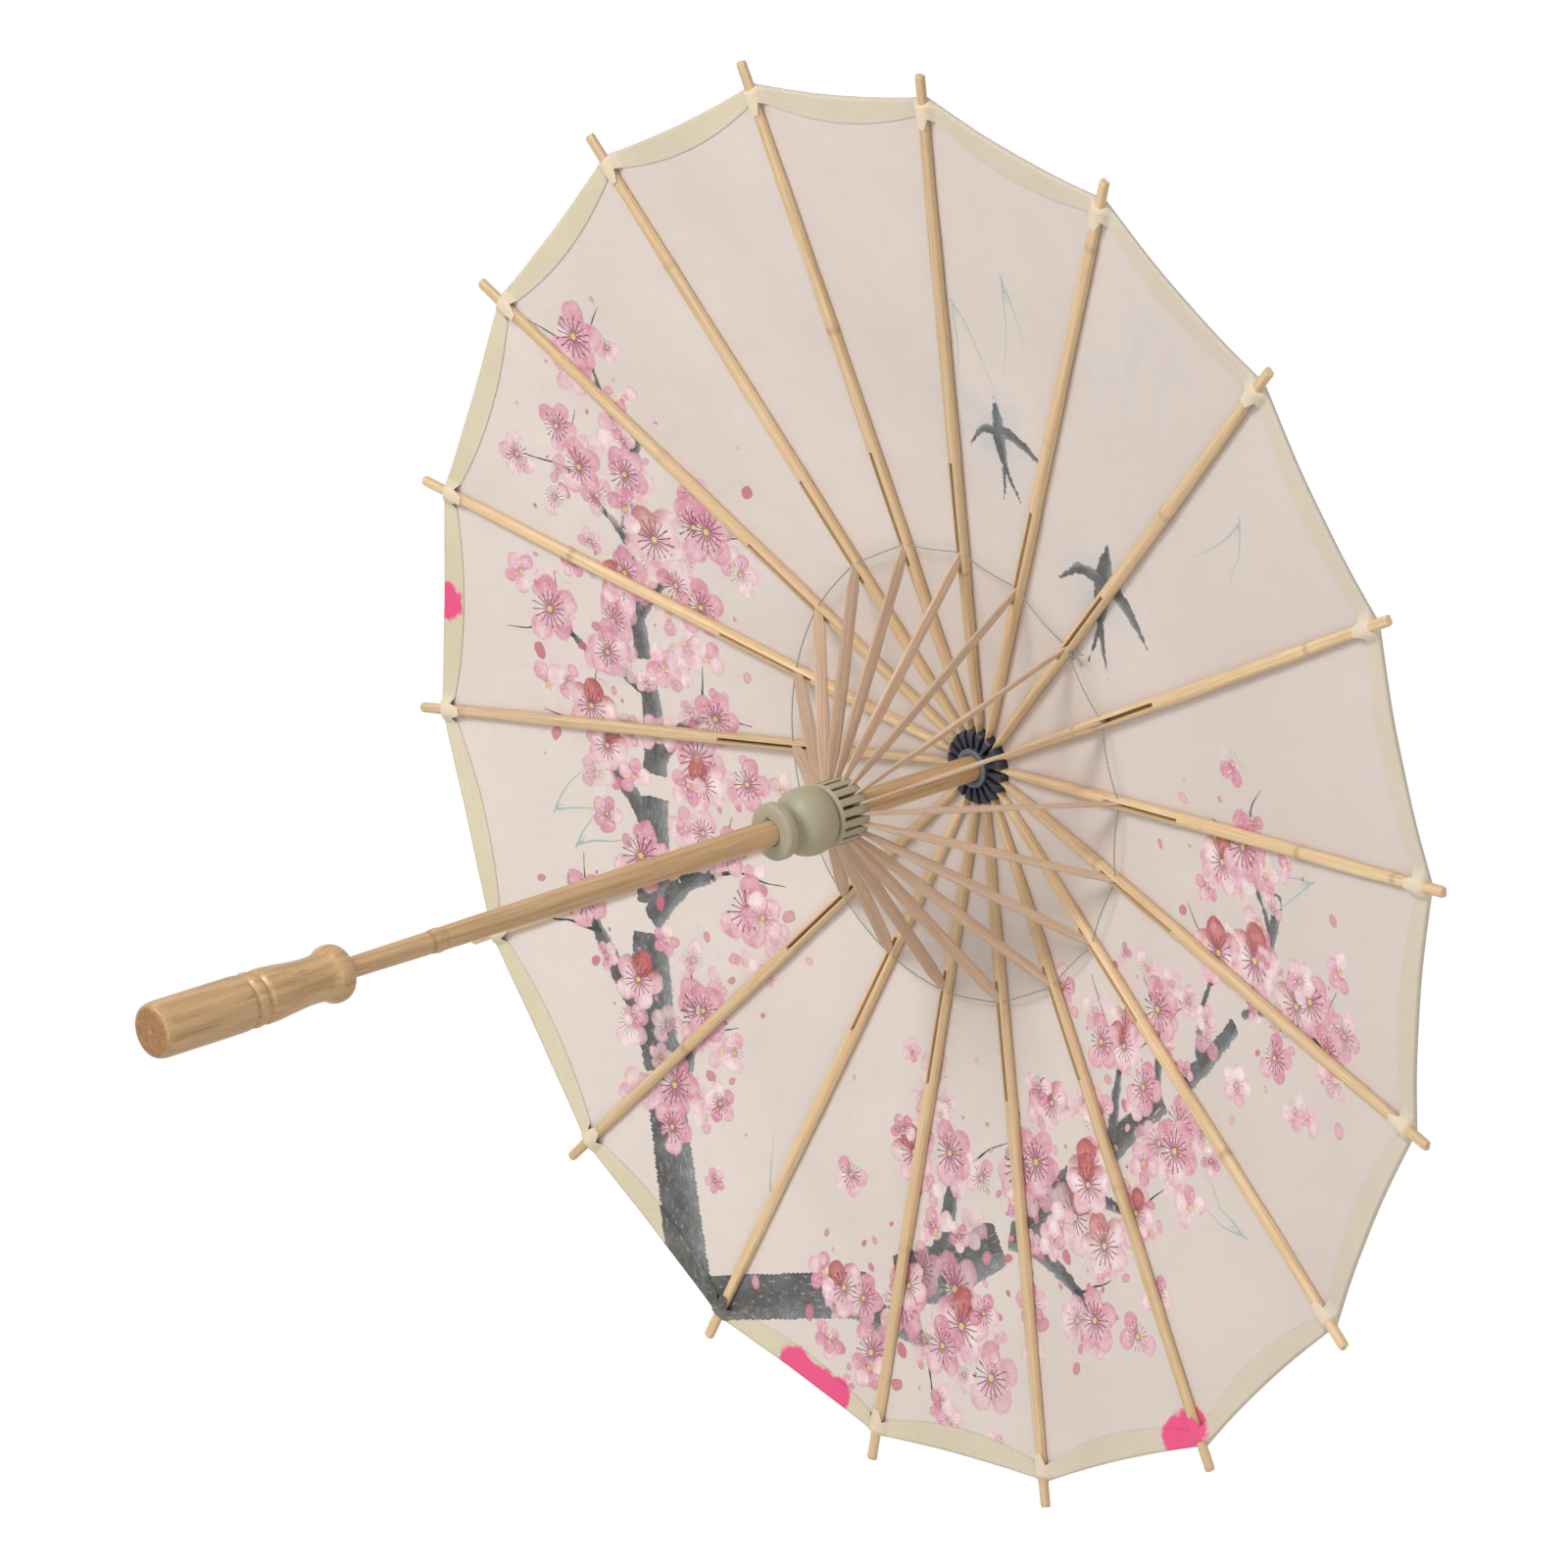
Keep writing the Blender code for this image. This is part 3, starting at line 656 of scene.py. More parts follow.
# %% Crown cap, washer and hinge wires
WIRE_HALF = 0.00035
cap_outline = soft_line(np.array([
    (5.4, 420.3), (5.4, 420.3), (5.4, 411.2), (5.6, 410.8), (5.6, 410.8), (15.6, 410.8),
    (16.2, 410.6), (17.6, 409.6), (18.2, 408.7), (18.7, 408.6), (19.0, 408.9), (18.95, 409.6),
    (18.5, 410.9), (17.0, 413.0), (14.9, 414.9), (12.4, 416.5), (9.6, 418.0), (7.6, 419.7),
    (6.3, 421.6), (5.7, 423.2), (5.4, 424.5), (5.5, 425.8), (5.75, 427.2), (5.7, 428.8),
    (5.2, 430.3), (4.2, 431.6), (2.6, 432.6), (0.6, 433.0)]) * MM, 5)
cap = tube("crown_cap_knob", turned(np.concatenate([[(0.0004, 0.4203)], cap_outline]), 96),
           charcoal)
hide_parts("crown_cap")
washer_outline = outline_mm([(5.25, -4.1), (5.35, -4.7), (5.8, -5.0), (7.0, -5.0), (7.6, -4.8),
                             (7.8, -4.4), (7.7, -4.05), (6.5, -4.03), (5.4, -4.03)], HINGE_Z)
washer = tube("hub_washer", turned(washer_outline, 72), hub_grey, loop=True)


def hoop(name, radius, height):
    """A steel wire ring: a small circle carried round a large one."""
    t = np.linspace(0, 2 * math.pi, 10, endpoint=False)
    outline = np.stack([radius + WIRE_HALF * np.cos(t), height + WIRE_HALF * np.sin(t)], -1)
    return tube(name, turned(outline, 144), steel, loop=True)


notch_wire = hoop("notch_hinge_wire", HINGE_R, HINGE_Z - 0.0002)
runner_wire = hoop("runner_hinge_wire", RUN_R, RUN_Z)
for piece, body, slot_name in ((cap, "stick", "charcoal_plastic"),
                               (washer, "stick", "charcoal_plastic"),
                               (notch_wire, "stick", "spring_steel"),
                               (runner_wire, "runner", "spring_steel")):
    belongs(piece, body)
catch_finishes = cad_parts["catch_spring"].data.materials
catch_finishes.clear()
catch_finishes.append(steel)
print("cap height in mm:", round(1000 * float(np.ptp(cap_outline[:, 1])), 1))

# %% [markdown]
# A rib is a split of bamboo: flat above, where the cloth is glued, and rounded below, thin
# at the hinge, widest past the joint and tapering to the tip, with faint nodes and a long
# slot that the stretcher folds into. Its section is a rounded box given by powers of sine
# and cosine, carried along the rib while width and depth change. The four lowest points
# make the slot: they sink inside its length. Each rib gets its own waver, nodes and tone.

# %% Ribs
def about_axis(x, y, z, number):
    """Turn points round the stick from the first rib's place to that of another."""
    a = PITCH * (number - 1)
    return np.stack([x * math.cos(a) - y * math.sin(a), x * math.sin(a) + y * math.cos(a), z], -1)


def along_rib(s, y, h, number):
    """Place s along a rib, y across it and h above its hinge line at that rib's angle."""
    return about_axis(HINGE_R + s * math.cos(SLOPE) + h * math.sin(SLOPE), y,
                      HINGE_Z - s * math.sin(SLOPE) + h * math.cos(SLOPE), number)


def power(value, exponent):
    """A signed power, which squares off a sine or cosine as the exponent falls."""
    return np.sign(value) * np.abs(value) ** exponent


# width and depth at places along a rib from its hinge, in mm; the last two are at its tip
RIB_S = np.array([-1.4, -0.8, 7.3, 8.9, 20, 40, 68, 92, 130, 220, RIB_LONG * 1000 - 1,
                  RIB_LONG * 1000]) * MM
RIB_W = np.array([1.3, 1.4, 1.4, 3.0, 3.4, 3.9, 4.5, 5.0, 5.1, 4.7, 4.0, 3.4]) * MM
RIB_D = np.array([1.5, 3.0, 3.2, 3.3, 3.5, 3.8, 4.0, 4.0, 3.8, 3.2, 2.8, 2.4]) * MM
SLOT_FROM, SLOT_TO = RIB_JOINT - 0.0080, RIB_JOINT + 0.0380
draw = np.random.default_rng(18)
rows = np.sort(np.concatenate([
    np.linspace(-0.0014, 0.0100, 12), np.linspace(0.011, RIB_LONG - 0.0012, 110),
    np.linspace(RIB_LONG - 0.0010, RIB_LONG, 4),
    np.array([-0.0004, 0.0004]) + SLOT_FROM, np.array([-0.0004, 0.0004]) + SLOT_TO]))
wide, deep = np.interp(rows, RIB_S, RIB_W), np.interp(rows, RIB_S, RIB_D)
inside = ((rows > SLOT_FROM) & (rows < SLOT_TO)).astype(float)
upper = np.linspace(0, math.pi, 9)
lower = np.concatenate([np.linspace(math.pi, 1.36 * math.pi, 6)[1:],
                        np.linspace(1.64 * math.pi, 2 * math.pi, 6)[:-1]])
SLOT_HALF, SLOT_ROOF = 0.00074, 0.00150
ABOVE = 0.42  # share of a rib's depth above its widest line
CREASE = math.radians(50)

for number in NUMBERS:
    tone = draw.uniform(0.15, 0.95)
    nodes_at = np.cumsum(draw.uniform(0.055, 0.115, 4))
    bumps = np.exp(-((rows[:, None] - nodes_at) / 0.0016) ** 2).sum(1)
    clear_end = np.clip((rows - 0.012) / 0.02, 0, 1) * (1 - inside)
    w = 0.5 * wide + 0.00020 * bumps * clear_end
    w = w + 0.00008 * clear_end * np.sin(rows * draw.uniform(90, 160) + draw.uniform(0, 6))
    d = deep + 0.00018 * bumps * clear_end
    bend = 0.00022 * clear_end * np.sin(rows * draw.uniform(16, 34) + draw.uniform(0, 6))
    bend = bend * np.clip((RIB_LONG - rows) / 0.05, 0, 1)
    half, full = w[:, None], d[:, None]
    y = np.concatenate([power(np.cos(upper), 0.35) * half, power(np.cos(lower[:5]), 0.8) * half,
                        SLOT_HALF * np.array([-1, -0.96, 0.96, 1]) + 0 * half,
                        power(np.cos(lower[5:]), 0.8) * half], 1)
    y[:, 14:18] *= np.clip(half / 0.0021, 0.3, 1.0)
    middle, drop = RIB_TOP - ABOVE * full, (1 - ABOVE) * full
    floor_h = middle - drop
    roof = inside[:, None] * (SLOT_ROOF - floor_h) + floor_h
    h = np.concatenate([middle + ABOVE * full * power(np.sin(upper), 0.35),
                        middle + drop * power(np.sin(lower[:5]), 0.8), floor_h, roof, roof,
                        floor_h, middle + drop * power(np.sin(lower[5:]), 0.8)], 1)
    grid = along_rib(rows[:, None] + 0 * y, y + bend[:, None], h, number)
    rib = tube(f"split_rib_{number:02d}", grid, rib_bamboo)
    rib.data.set_sharp_from_angle(angle=CREASE)
    local = np.stack([y, h, rows[:, None] + 0 * y], -1).reshape(-1, 3)
    rings = np.exp(-((rows[:, None] - nodes_at) / 0.0005) ** 2).sum(1) * clear_end
    wooden(rib, local + [0.31 * number, 0, 0], tone, np.repeat(np.clip(rings, 0, 1), y.shape[1]))
    belongs(rib, f"rib_{number:02d}", f"rib_{number:02d}")
print("rib points:", len(rib.data.vertices), "last tone:", round(tone, 2))

# %% [markdown]
# A stretcher is a flat strip of the same bamboo, set on edge, that props its rib from the
# runner. It is thin across, broad in the plane of the shaft and whittled down at both ends
# to fit the slots. Its section is a rounded box, carried from the rib's joint to the
# runner's wire.

# %% Stretchers
REACH = math.hypot(JOINT_R - RUN_R, JOINT_Z - RUN_Z)
FALL = math.atan2(JOINT_Z - RUN_Z, RUN_R - JOINT_R)
# width and thickness at places along a stretcher from the rib's joint, in mm; the last six
# places are counted from the runner's wire
STRIP_S = np.concatenate([
    [-1.5, -0.8, 1.0, 6.0, 12.0, 38.0, 46.0],
    REACH * 1000 + np.array([-30, -16.5, -10.5, -6.5, 0.6, 1.4])]) * MM
STRIP_W = np.array([1.6, 2.6, 2.9, 3.9, 5.1, 5.2, 5.2, 5.2, 4.8, 4.1, 3.0, 2.6, 1.4]) * MM
STRIP_T = np.array([1.0, 1.1, 1.2, 1.2, 1.2, 1.25, 1.8, 1.8, 1.0, 1.0, 1.0, 1.0, 0.9]) * MM
rows = np.concatenate([np.linspace(-0.0015, 0.014, 14), np.linspace(0.016, REACH - 0.020, 44),
                       np.linspace(REACH - 0.018, REACH + 0.0014, 20)])
wide, thick = np.interp(rows, STRIP_S, STRIP_W), np.interp(rows, STRIP_S, STRIP_T)
ring = np.linspace(0, 2 * math.pi, 20, endpoint=False)

for number in NUMBERS:
    w = 0.5 * wide * (1 + 0.03 * np.sin(rows * draw.uniform(60, 120) + draw.uniform(0, 6))
                      * np.clip(rows / 0.02, 0, 1))
    across = power(np.cos(ring), 0.4)[None] * w[:, None]
    y = power(np.sin(ring), 0.4)[None] * 0.5 * thick[:, None]
    s = rows[:, None] + 0 * across
    grid = about_axis(JOINT_R + s * math.cos(FALL) + across * math.sin(FALL), y,
                      JOINT_Z - s * math.sin(FALL) + across * math.cos(FALL), number)
    strip = tube(f"bamboo_stretcher_{number:02d}", grid, strip_bamboo)
    strip.data.set_sharp_from_angle(angle=CREASE)
    local = np.stack([across, y, s], -1).reshape(-1, 3)
    wooden(strip, local + [0, 0.37 * number, 0], draw.uniform(0.1, 1.0))
    belongs(strip, f"stretcher_{number:02d}", f"stretcher_{number:02d}")
print("stretcher length in mm:", round(1000 * REACH, 1))

# %% [markdown]
# The canopy is one sheet of thin oiled cloth glued to the 18 ribs. It is cut here into a
# sheet for each rib, because each rib carries its share when the umbrella folds. A sheet
# runs half a gap to each side of its rib. Its points lie on the chord from rib to rib and
# sag a little between them; towards the rim the cloth is also pulled in, so the hem runs
# in shallow arcs. Neighbours meet at the same points, so the surface reads as one piece.

# %% Canopy surface
HALF = 0.5 * PITCH
SAG, PULL, RIPPLE = 0.0012, 0.0019, 0.00016


def canopy_point(rho, v, lift=0.0):
    """The cloth's underside. rho is the radius on the rib and v runs from -1 to 1 across.
    A point is the rib's point moved a share |v| towards the middle of the chord to the
    next rib; it sags by 1.2 mm x (1 - (1 - |v|)^2) at the rim and less inwards."""
    share = np.abs(v)
    give = 1 - (1 - share) ** 2
    reach = rho / CLOTH_RIM
    rho = rho - PULL * give * reach ** 7
    x = rho * (1 - share * (1 - math.cos(HALF) ** 2))
    y = rho * v * math.sin(HALF) * math.cos(HALF)
    z = HINGE_Z + CLOTH_LIFT / math.cos(SLOPE) - (rho - HINGE_R) * math.tan(SLOPE)
    ripple = RIPPLE * np.sin(rho * 140 + 5 * v) * np.sin(rho * 61) * 4 * share * (1 - share)
    z = z - SAG * give * np.clip(reach, 0, 1) - ripple + lift
    return x, y, z


ROWS, COLUMNS = 200, 77
rho = np.linspace(CLOTH_INNER, CLOTH_RIM, ROWS)[:, None] + np.zeros((1, COLUMNS))
span = np.linspace(-1, 1, COLUMNS)[None, :] + np.zeros((ROWS, 1))
sectors = np.stack([about_axis(*canopy_point(rho, span), n) for n in NUMBERS])
plan = sectors[..., :2].reshape(-1, 2) * 1000.0
print("canopy points:", len(plan))

# %% [markdown]
# The print is plum blossom in ink and watercolour, in a general manner that many such
# umbrellas share. Two charcoal boughs start from one foot at the rim and round the canopy
# by a formula. Side strokes and thin twigs grow from them by a rule with a fixed seed, and
# two swallows fly opposite. No picture is used. Each point of the canopy stores its place
# in the nearest stroke and its distance from the stroke's edge, and the shader inks it.

# %% Boughs, twigs and birds
def stroke_fields(places, points, reach, steps=6):
    """Nearest place on a brush stroke, for the canopy points close to it.
    The stroke is a curve through (x, y, width) points. For each segment, the nearest place
    is the foot of the perpendicular, held to the segment's ends; the nearest segment wins.
    Past an end the distance counts from a straight cut, because a flat brush leaves one."""
    line = soft_line(points, steps)
    low, high = line[:, :2].min(0) - reach, line[:, :2].max(0) + reach
    near = np.flatnonzero(((places > low) & (places < high)).all(1))
    a, b = line[:-1], line[1:]
    run = b[:, :2] - a[:, :2]
    size = np.linalg.norm(run, axis=1)
    off = places[near, None] - a[None, :, :2]
    free = (off * run).sum(-1) / size ** 2
    t = np.clip(free, 0, 1)
    gap = off - t[..., None] * run
    far = np.linalg.norm(gap, axis=-1)
    best = far.argmin(1) if len(near) else np.zeros(0, int)
    pick = (np.arange(len(near)), best)
    cross = (run[best, 0] * off[pick][:, 1] - run[best, 1] * off[pick][:, 0]) / size[best]
    start = np.concatenate([[0], np.cumsum(size)[:-1]])
    along = start[best] + t[pick] * size[best]
    half = 0.5 * (a[best, 2] + t[pick] * (b[best, 2] - a[best, 2]))
    past = np.abs(free[pick] - t[pick]) * size[best]
    past = np.where((free[pick] < 0) | (free[pick] > 1), past, -9.0)
    return near, cross, along, far[pick], half, past


draw = np.random.default_rng(24)


def sweep(first, last, low):
    """The middle line and width of a main bough, which rounds the canopy from its foot.
    Along t from 0 to 1 the angle goes from first to last in degrees; the radius in mm is
    low + 122 (1 - t)^4 + 30 t^2 with a slow wave, and the width is 5 + 27 (1 - t)^1.8."""
    t = np.linspace(0, 1, 61)
    angle = np.radians(first + (last - first) * t)
    radius = low + 122 * (1 - t) ** 4 + 30 * t ** 2 + 8 * np.sin(8 * t)
    return np.stack([radius * np.cos(angle), radius * np.sin(angle), 5 + 27 * (1 - t) ** 1.8], -1)


def grown(start, heading, length, width, curl):
    """A side stroke: five equal steps ahead, while the heading turns by curl in all and
    wavers a little, and the width tapers to a fifth."""
    share = np.linspace(0, 1, 5)
    way = heading + curl * share + draw.normal(0, 0.12, 5)
    steps = np.stack([np.cos(way), np.sin(way)], -1)[:4] * length / 4
    places = start + np.concatenate([[[0.0, 0.0]], np.cumsum(steps, 0)])
    return np.column_stack([places, width * (1 - 0.8 * share)])


def swallow(x, y, size, turn_by):
    """A flying bird of six strokes, on coordinates of its own: body, wings, tail, bill."""
    c, s = math.cos(turn_by), math.sin(turn_by)
    parts = [[(-0.5, 0, 0.06), (-0.1, -0.01, 0.26), (0.3, 0.03, 0.24), (0.5, 0.06, 0.12)],
             [(0.15, 0.04, 0.2), (0.0, 0.42, 0.17), (-0.32, 0.85, 0.03)],
             [(0.12, -0.02, 0.18), (0.1, -0.38, 0.12), (-0.18, -0.72, 0.03)],
             [(-0.42, 0, 0.12), (-0.75, 0.1, 0.06), (-1.05, 0.22, 0.02)],
             [(-0.42, 0, 0.1), (-0.72, -0.08, 0.05), (-1.0, -0.16, 0.02)],
             [(0.5, 0.06, 0.1), (0.6, 0.06, 0.04), (0.68, 0.05, 0.01)]]
    return [[(x + size * (u * c - v * s), y + size * (u * s + v * c), size * w)
             for u, v, w in part] for part in parts]


sweeps = [sweep(222, 322, 158), sweep(222, 104, 150)]
birds_at = [(66, 108, 34, 0.5), (128, 74, 25, 0.2)]
boughs, twigs, pale_twigs, buds = [], [], [], []
for line in sweeps:
    for first in range(0, 60, 10):
        boughs.append(line[first + (first > 0):first + 10])
    for k, at in enumerate(draw.permutation(np.arange(8, 58, 6))):
        ahead = line[at + 1, :2] - line[at - 1, :2]
        heading = math.atan2(ahead[1], ahead[0]) + (0.8 if k % 2 else -0.8)
        side = grown(line[at, :2], heading, draw.uniform(34, 62), 0.65 * line[at, 2],
                     draw.uniform(-0.6, 0.6))
        boughs.append(side)
        buds.append(side[-1, :2])
        for spread in (-0.4, 0.5):
            twigs.append(grown(side[3, :2], heading + spread, draw.uniform(20, 38), 1.6, spread))
for x, y, size, turn_by in birds_at:
    boughs.extend(swallow(x, y, size, turn_by))
for angle in np.radians(draw.uniform(0, 360, 9)):
    place = draw.uniform(190, 225) * np.array([math.cos(angle), math.sin(angle)])
    for spread in (0.0, 0.6):
        pale_twigs.append(grown(place, angle + 2.4 + spread, draw.uniform(24, 46), 0.9, 0.4))


INK_REACH, TWIG_REACH = 6.0, 3.2


def bough_of(places):
    """Each point's place in the nearest bough: across over half width, along, and the
    distance outside its edge, all from the stroke that covers the point best."""
    found = np.zeros((len(places), 3))
    found[:, 2] = INK_REACH
    for stroke in boughs:
        near, cross, along, far, half, past = stroke_fields(places, stroke, 8.0)
        outside = np.where(past > -9, np.maximum(np.abs(cross) - half, past), far - half)
        better = outside < found[near, 2]
        found[near[better]] = np.stack([cross / half, along, outside], -1)[better]
    return found


bough = bough_of(plan)
twig = np.tile([INK_REACH, INK_REACH, 0.3], (len(plan), 1))
for kind, strokes in ((1, twigs), (-1, pale_twigs)):
    for stroke in strokes:
        near, cross, along, far, half, past = stroke_fields(plan, stroke, TWIG_REACH)
        better = (far < TWIG_REACH) & (far < twig[near, 1])
        twig[near[better]] = np.stack([cross, far, kind * half], -1)[better]
print("points under ink:", int((bough[:, 2] < 0).sum()))

# %% [markdown]
# The main flowers are drawn at random beside the boughs and at the ends of side strokes,
# each with a size, a turn and a tone from pale to deep. Smaller ones and loose petals are
# drawn near them, and each takes the first layer where it overlaps no other. A flower gives
# the points round it their place inside it (across, up, tone), and the shader draws its
# petals from that, so they stay crisp between points.

# %% Flowers, petals and washes
MAIN, PRINT_RIM = 64, 245
share = draw.uniform(0, 1, MAIN) ** 1.3
near_line = np.stack(sweeps)[draw.integers(0, 2, MAIN), (4 + 54 * share).astype(int), :2]
around_line = near_line + draw.normal(0, 1, (MAIN, 2)) * 24
middles = np.concatenate([buds, around_line])
# x, y and radius in mm, turn in degrees, tone from 0 (pale) to 1 (deep)
main_flowers = np.column_stack([middles, draw.uniform(10.5, 16.5, len(middles)),
                                draw.uniform(-35, 35, len(middles)),
                                np.where(draw.uniform(0, 1, len(middles)) < 0.3, 1.0, 0.4)])
main_flowers = main_flowers[np.hypot(main_flowers[:, 0], main_flowers[:, 1]) < PRINT_RIM]
MANY, LOOSE = 330, 520
parents = main_flowers[draw.integers(0, len(main_flowers), MANY), :2]
small = np.column_stack([parents + draw.normal(0, 1, (MANY, 2)) * [17, 15],
                         draw.uniform(5.0, 11.5, MANY), draw.uniform(-60, 60, MANY),
                         draw.uniform(0, 0.42, MANY)])
parents = main_flowers[draw.integers(0, len(main_flowers), LOOSE), :2]
loose = np.column_stack([parents + draw.normal(0, 1, (LOOSE, 2)) * [20, 18],
                         0.9 + 2.9 * draw.uniform(0, 1, LOOSE) ** 2,
                         draw.uniform(-180, 180, LOOSE), draw.uniform(0.1, 1, LOOSE)])
bird_room = np.array([(x, y, 1.1 * size) for x, y, size, _ in birds_at])


def clear_of_birds(flowers):
    """Leave out the random flowers that would fall on a bird."""
    away = np.hypot(*np.moveaxis(flowers[:, None, :2] - bird_room[:, :2], -1, 0))
    return flowers[(away > bird_room[:, 2] + flowers[:, None, 2]).all(1)]


main_flowers, small, loose = (clear_of_birds(f) for f in (main_flowers, small, loose))


def lay_out(flowers, layers, gap):
    """Split flowers into layers in which no two come closer than their radii and a gap."""
    kept = [[] for _ in range(layers)]
    for f in flowers:
        for layer in kept:
            if all(math.hypot(f[0] - g[0], f[1] - g[1]) > f[2] + g[2] + gap for g in layer):
                layer.append(f)
                break
    return kept


def flower_layer(flowers):
    """Each point's place in the flower that covers it: turned offset over radius, and tone.
    The fourth value is the plain distance over radius. Where two flowers' places meet, the
    mix of both could look like a middle; the distance stays large there and rules it out."""
    place = np.tile([4.0, 4.0, 0.0, 4.0], (len(plan), 1))
    for x, y, radius, turn_by, tone in flowers:
        off = plan - (x, y)
        near = np.flatnonzero((off ** 2).sum(1) < (radius + 2.2) ** 2)
        c, s = math.cos(math.radians(turn_by)), math.sin(math.radians(turn_by))
        dx, dy = off[near, 0] / radius, off[near, 1] / radius
        place[near] = np.stack([dy * c - dx * s, dx * c + dy * s, np.full(len(near), tone),
                                np.hypot(dx, dy)], -1)
    return place


LAYERS, GAP = 4, 2.4
blossom_layers = lay_out(np.concatenate([main_flowers, small]), LAYERS, GAP)
petal_layers = lay_out(loose, 1, GAP)
bloom = [flower_layer(layer) for layer in blossom_layers]
petal = flower_layer(petal_layers[0])


def splash(places, spots):
    """A soft wash: for each spot (x, y, size, strength), strength x exp(-(distance/size)^2)."""
    total = np.zeros(len(places))
    for x, y, size, strength in spots:
        total += strength * np.exp(-((places - (x, y)) ** 2).sum(1) / size ** 2)
    return total


WASH_RIM = 268
hot_spots = [(WASH_RIM * math.cos(a), WASH_RIM * math.sin(a), 8, 1.2)
             for a in np.radians([160, 163, 205, 208, 211, 290])]
pink_spots = [(x, y, 30, 0.32) for x, y in main_flowers[:14, :2]]
grey_spots = [(x, y, 0.6 * size, 0.7) for x, y, size, _ in birds_at] + [
    (x, y, 26, 0.3) for x, y in draw.uniform(-200, 200, (7, 2))]


def wash_of(places):
    """The three washes of a piece of cloth: hot pink, pale pink and blue-grey."""
    return np.stack([splash(places, hot_spots), splash(places, pink_spots),
                     splash(places, grey_spots)], -1)


wash = wash_of(plan)
print("flowers in each layer:", [len(k) for k in blossom_layers], "petals:", len(petal_layers[0]))

# %% [markdown]
# One group draws a flower from the place stored round it. The angle is cut into five, so
# that each petal sees itself as an oval beside the middle; distance to that oval gives its
# edge, and a darker watercolour rim. Petals that point up are deep rose in a deep flower.
# Sixteen fine stamens and a yellow heart follow from the same angle and distance.

# %% Blossom group
PETALS, STAMENS = 5, 16
blossom, given, out = new_group(
    "plum_blossom", [("Place", "Vector", (4, 4, 0)), ("Distance", "Float", 4.0),
                     ("Cloth", "Vector", (0, 0, 0))],
    [("Color", "Color"), ("Cover", "Float"), ("Ink", "Float")])
part = node(blossom, "SeparateXYZ", given["Place"]).outputs
blur = noise(given["Cloth"], 420.0, 2.0)
broad = noise(given["Cloth"], 130.0, 3.0)
r = root_of_squares(part[0], part[1])
angle = calc("ARCTAN2", part[0], part[1])
fifths = times(angle, PETALS / (2 * math.pi))
own = times(calc("SUBTRACT", fifths, calc("ROUND", fifths)), 2 * math.pi / PETALS)
ahead = times(r, calc("COSINE", own))
aside = times(r, calc("SINE", own))
which = scaled(calc("ROUND", fifths), 3.7, times(calc("ROUND", times(part[2], 150.0)), 1.3))
chance = node(blossom, "TexWhiteNoise", {"W": which}, noise_dimensions="1D").outputs[0]
oval = root_of_squares(scaled(ahead, 2.30, -1.27), times(aside, 2.45))
oval = calc("ADD", oval, scaled(broad, 0.62, -0.31))
oval = calc("ADD", oval, scaled(chance, 0.30, -0.15))
petals = times(ranged(oval, 1.05, 0.93), ranged(r, 1.08, 1.02))
kept_petal = calc("MAXIMUM", ranged(chance, 0.24, 0.28), ranged(part[2], 0.42, 0.46))
petals = times(petals, kept_petal)
heart = ranged(r, 0.34, 0.26)
within = ranged(given["Distance"], 1.12, 1.06)
cover = times(calc("MAXIMUM", petals, heart), within)
rim = times(ranged(oval, 0.62, 1.0), ranged(blur, 0.36, 0.6))
upward = calc("DIVIDE", part[1], calc("ADD", r, 0.02))
deep = times(ranged(upward, 0.30, 0.80), ranged(part[2], 0.45, 0.9))
deep = times(deep, ranged(broad, 0.25, 0.45, 0.6, 1.0))
water = scaled(chance, 0.85, scaled(broad, 1.7, -0.80))
pale_pink = mixed(ranged(water, 0.1, 0.9), srgb(246, 230, 229), srgb(216, 150, 174))
tint = mixed(times(rim, 0.55), pale_pink, srgb(200, 118, 146))
strong = times(ranged(chance, 0.45, 0.85, 0.0, 0.85), part[2], clamp=True)
tint = mixed(strong, tint, srgb(196, 112, 130))
rose = mixed(ranged(scaled(broad, 0.8, oval), 0.7, 1.5), srgb(198, 112, 110), srgb(164, 74, 76))
tint = mixed(deep, tint, rose)
tint = mixed(times(ranged(r, 0.42, 0.1), 0.40), tint, srgb(190, 96, 120))
sixteenths = times(angle, STAMENS / (2 * math.pi))
sliver = calc("ABSOLUTE", calc("SUBTRACT", sixteenths, calc("ROUND", sixteenths)))
offset = times(times(sliver, 2 * math.pi / STAMENS), r)
length = scaled(blur, 0.60, 0.20)
hair = times(ranged(offset, 0.020, 0.008), ranged(calc("SUBTRACT", r, length), 0.02, -0.02))
bead = times(ranged(offset, 0.036, 0.018),
             ranged(calc("ABSOLUTE", calc("SUBTRACT", r, length)), 0.036, 0.018))
ink = times(calc("MAXIMUM", hair, bead), ranged(r, 0.07, 0.10))
ink = times(times(ink, ranged(part[2], 0.12, 0.34)), within)
splashes = noise(given["Cloth"], 760.0, 3.0)
white = times(ranged(splashes, 0.56, 0.64, 0.0, 0.75), ranged(r, 0.95, 0.45))
white = times(white, scaled(deep, -0.7, 1.0))
tint = mixed(white, tint, srgb(246, 234, 230))
tint = mixed(ranged(r, 0.13, 0.07), tint, srgb(226, 200, 120))
join(tint, out["Color"])
join(cover, out["Cover"])
join(ink, out["Ink"])
print("blossom group nodes:", len(blossom.nodes))

# %% [markdown]
# The cloth itself is thin and plain woven. Its weave is two crossed sets of fine bands
# with slubs, a thread where a noise runs long one way. The group gives a height for the
# bump and a mask for the colour, and both the canopy and its hem use it.

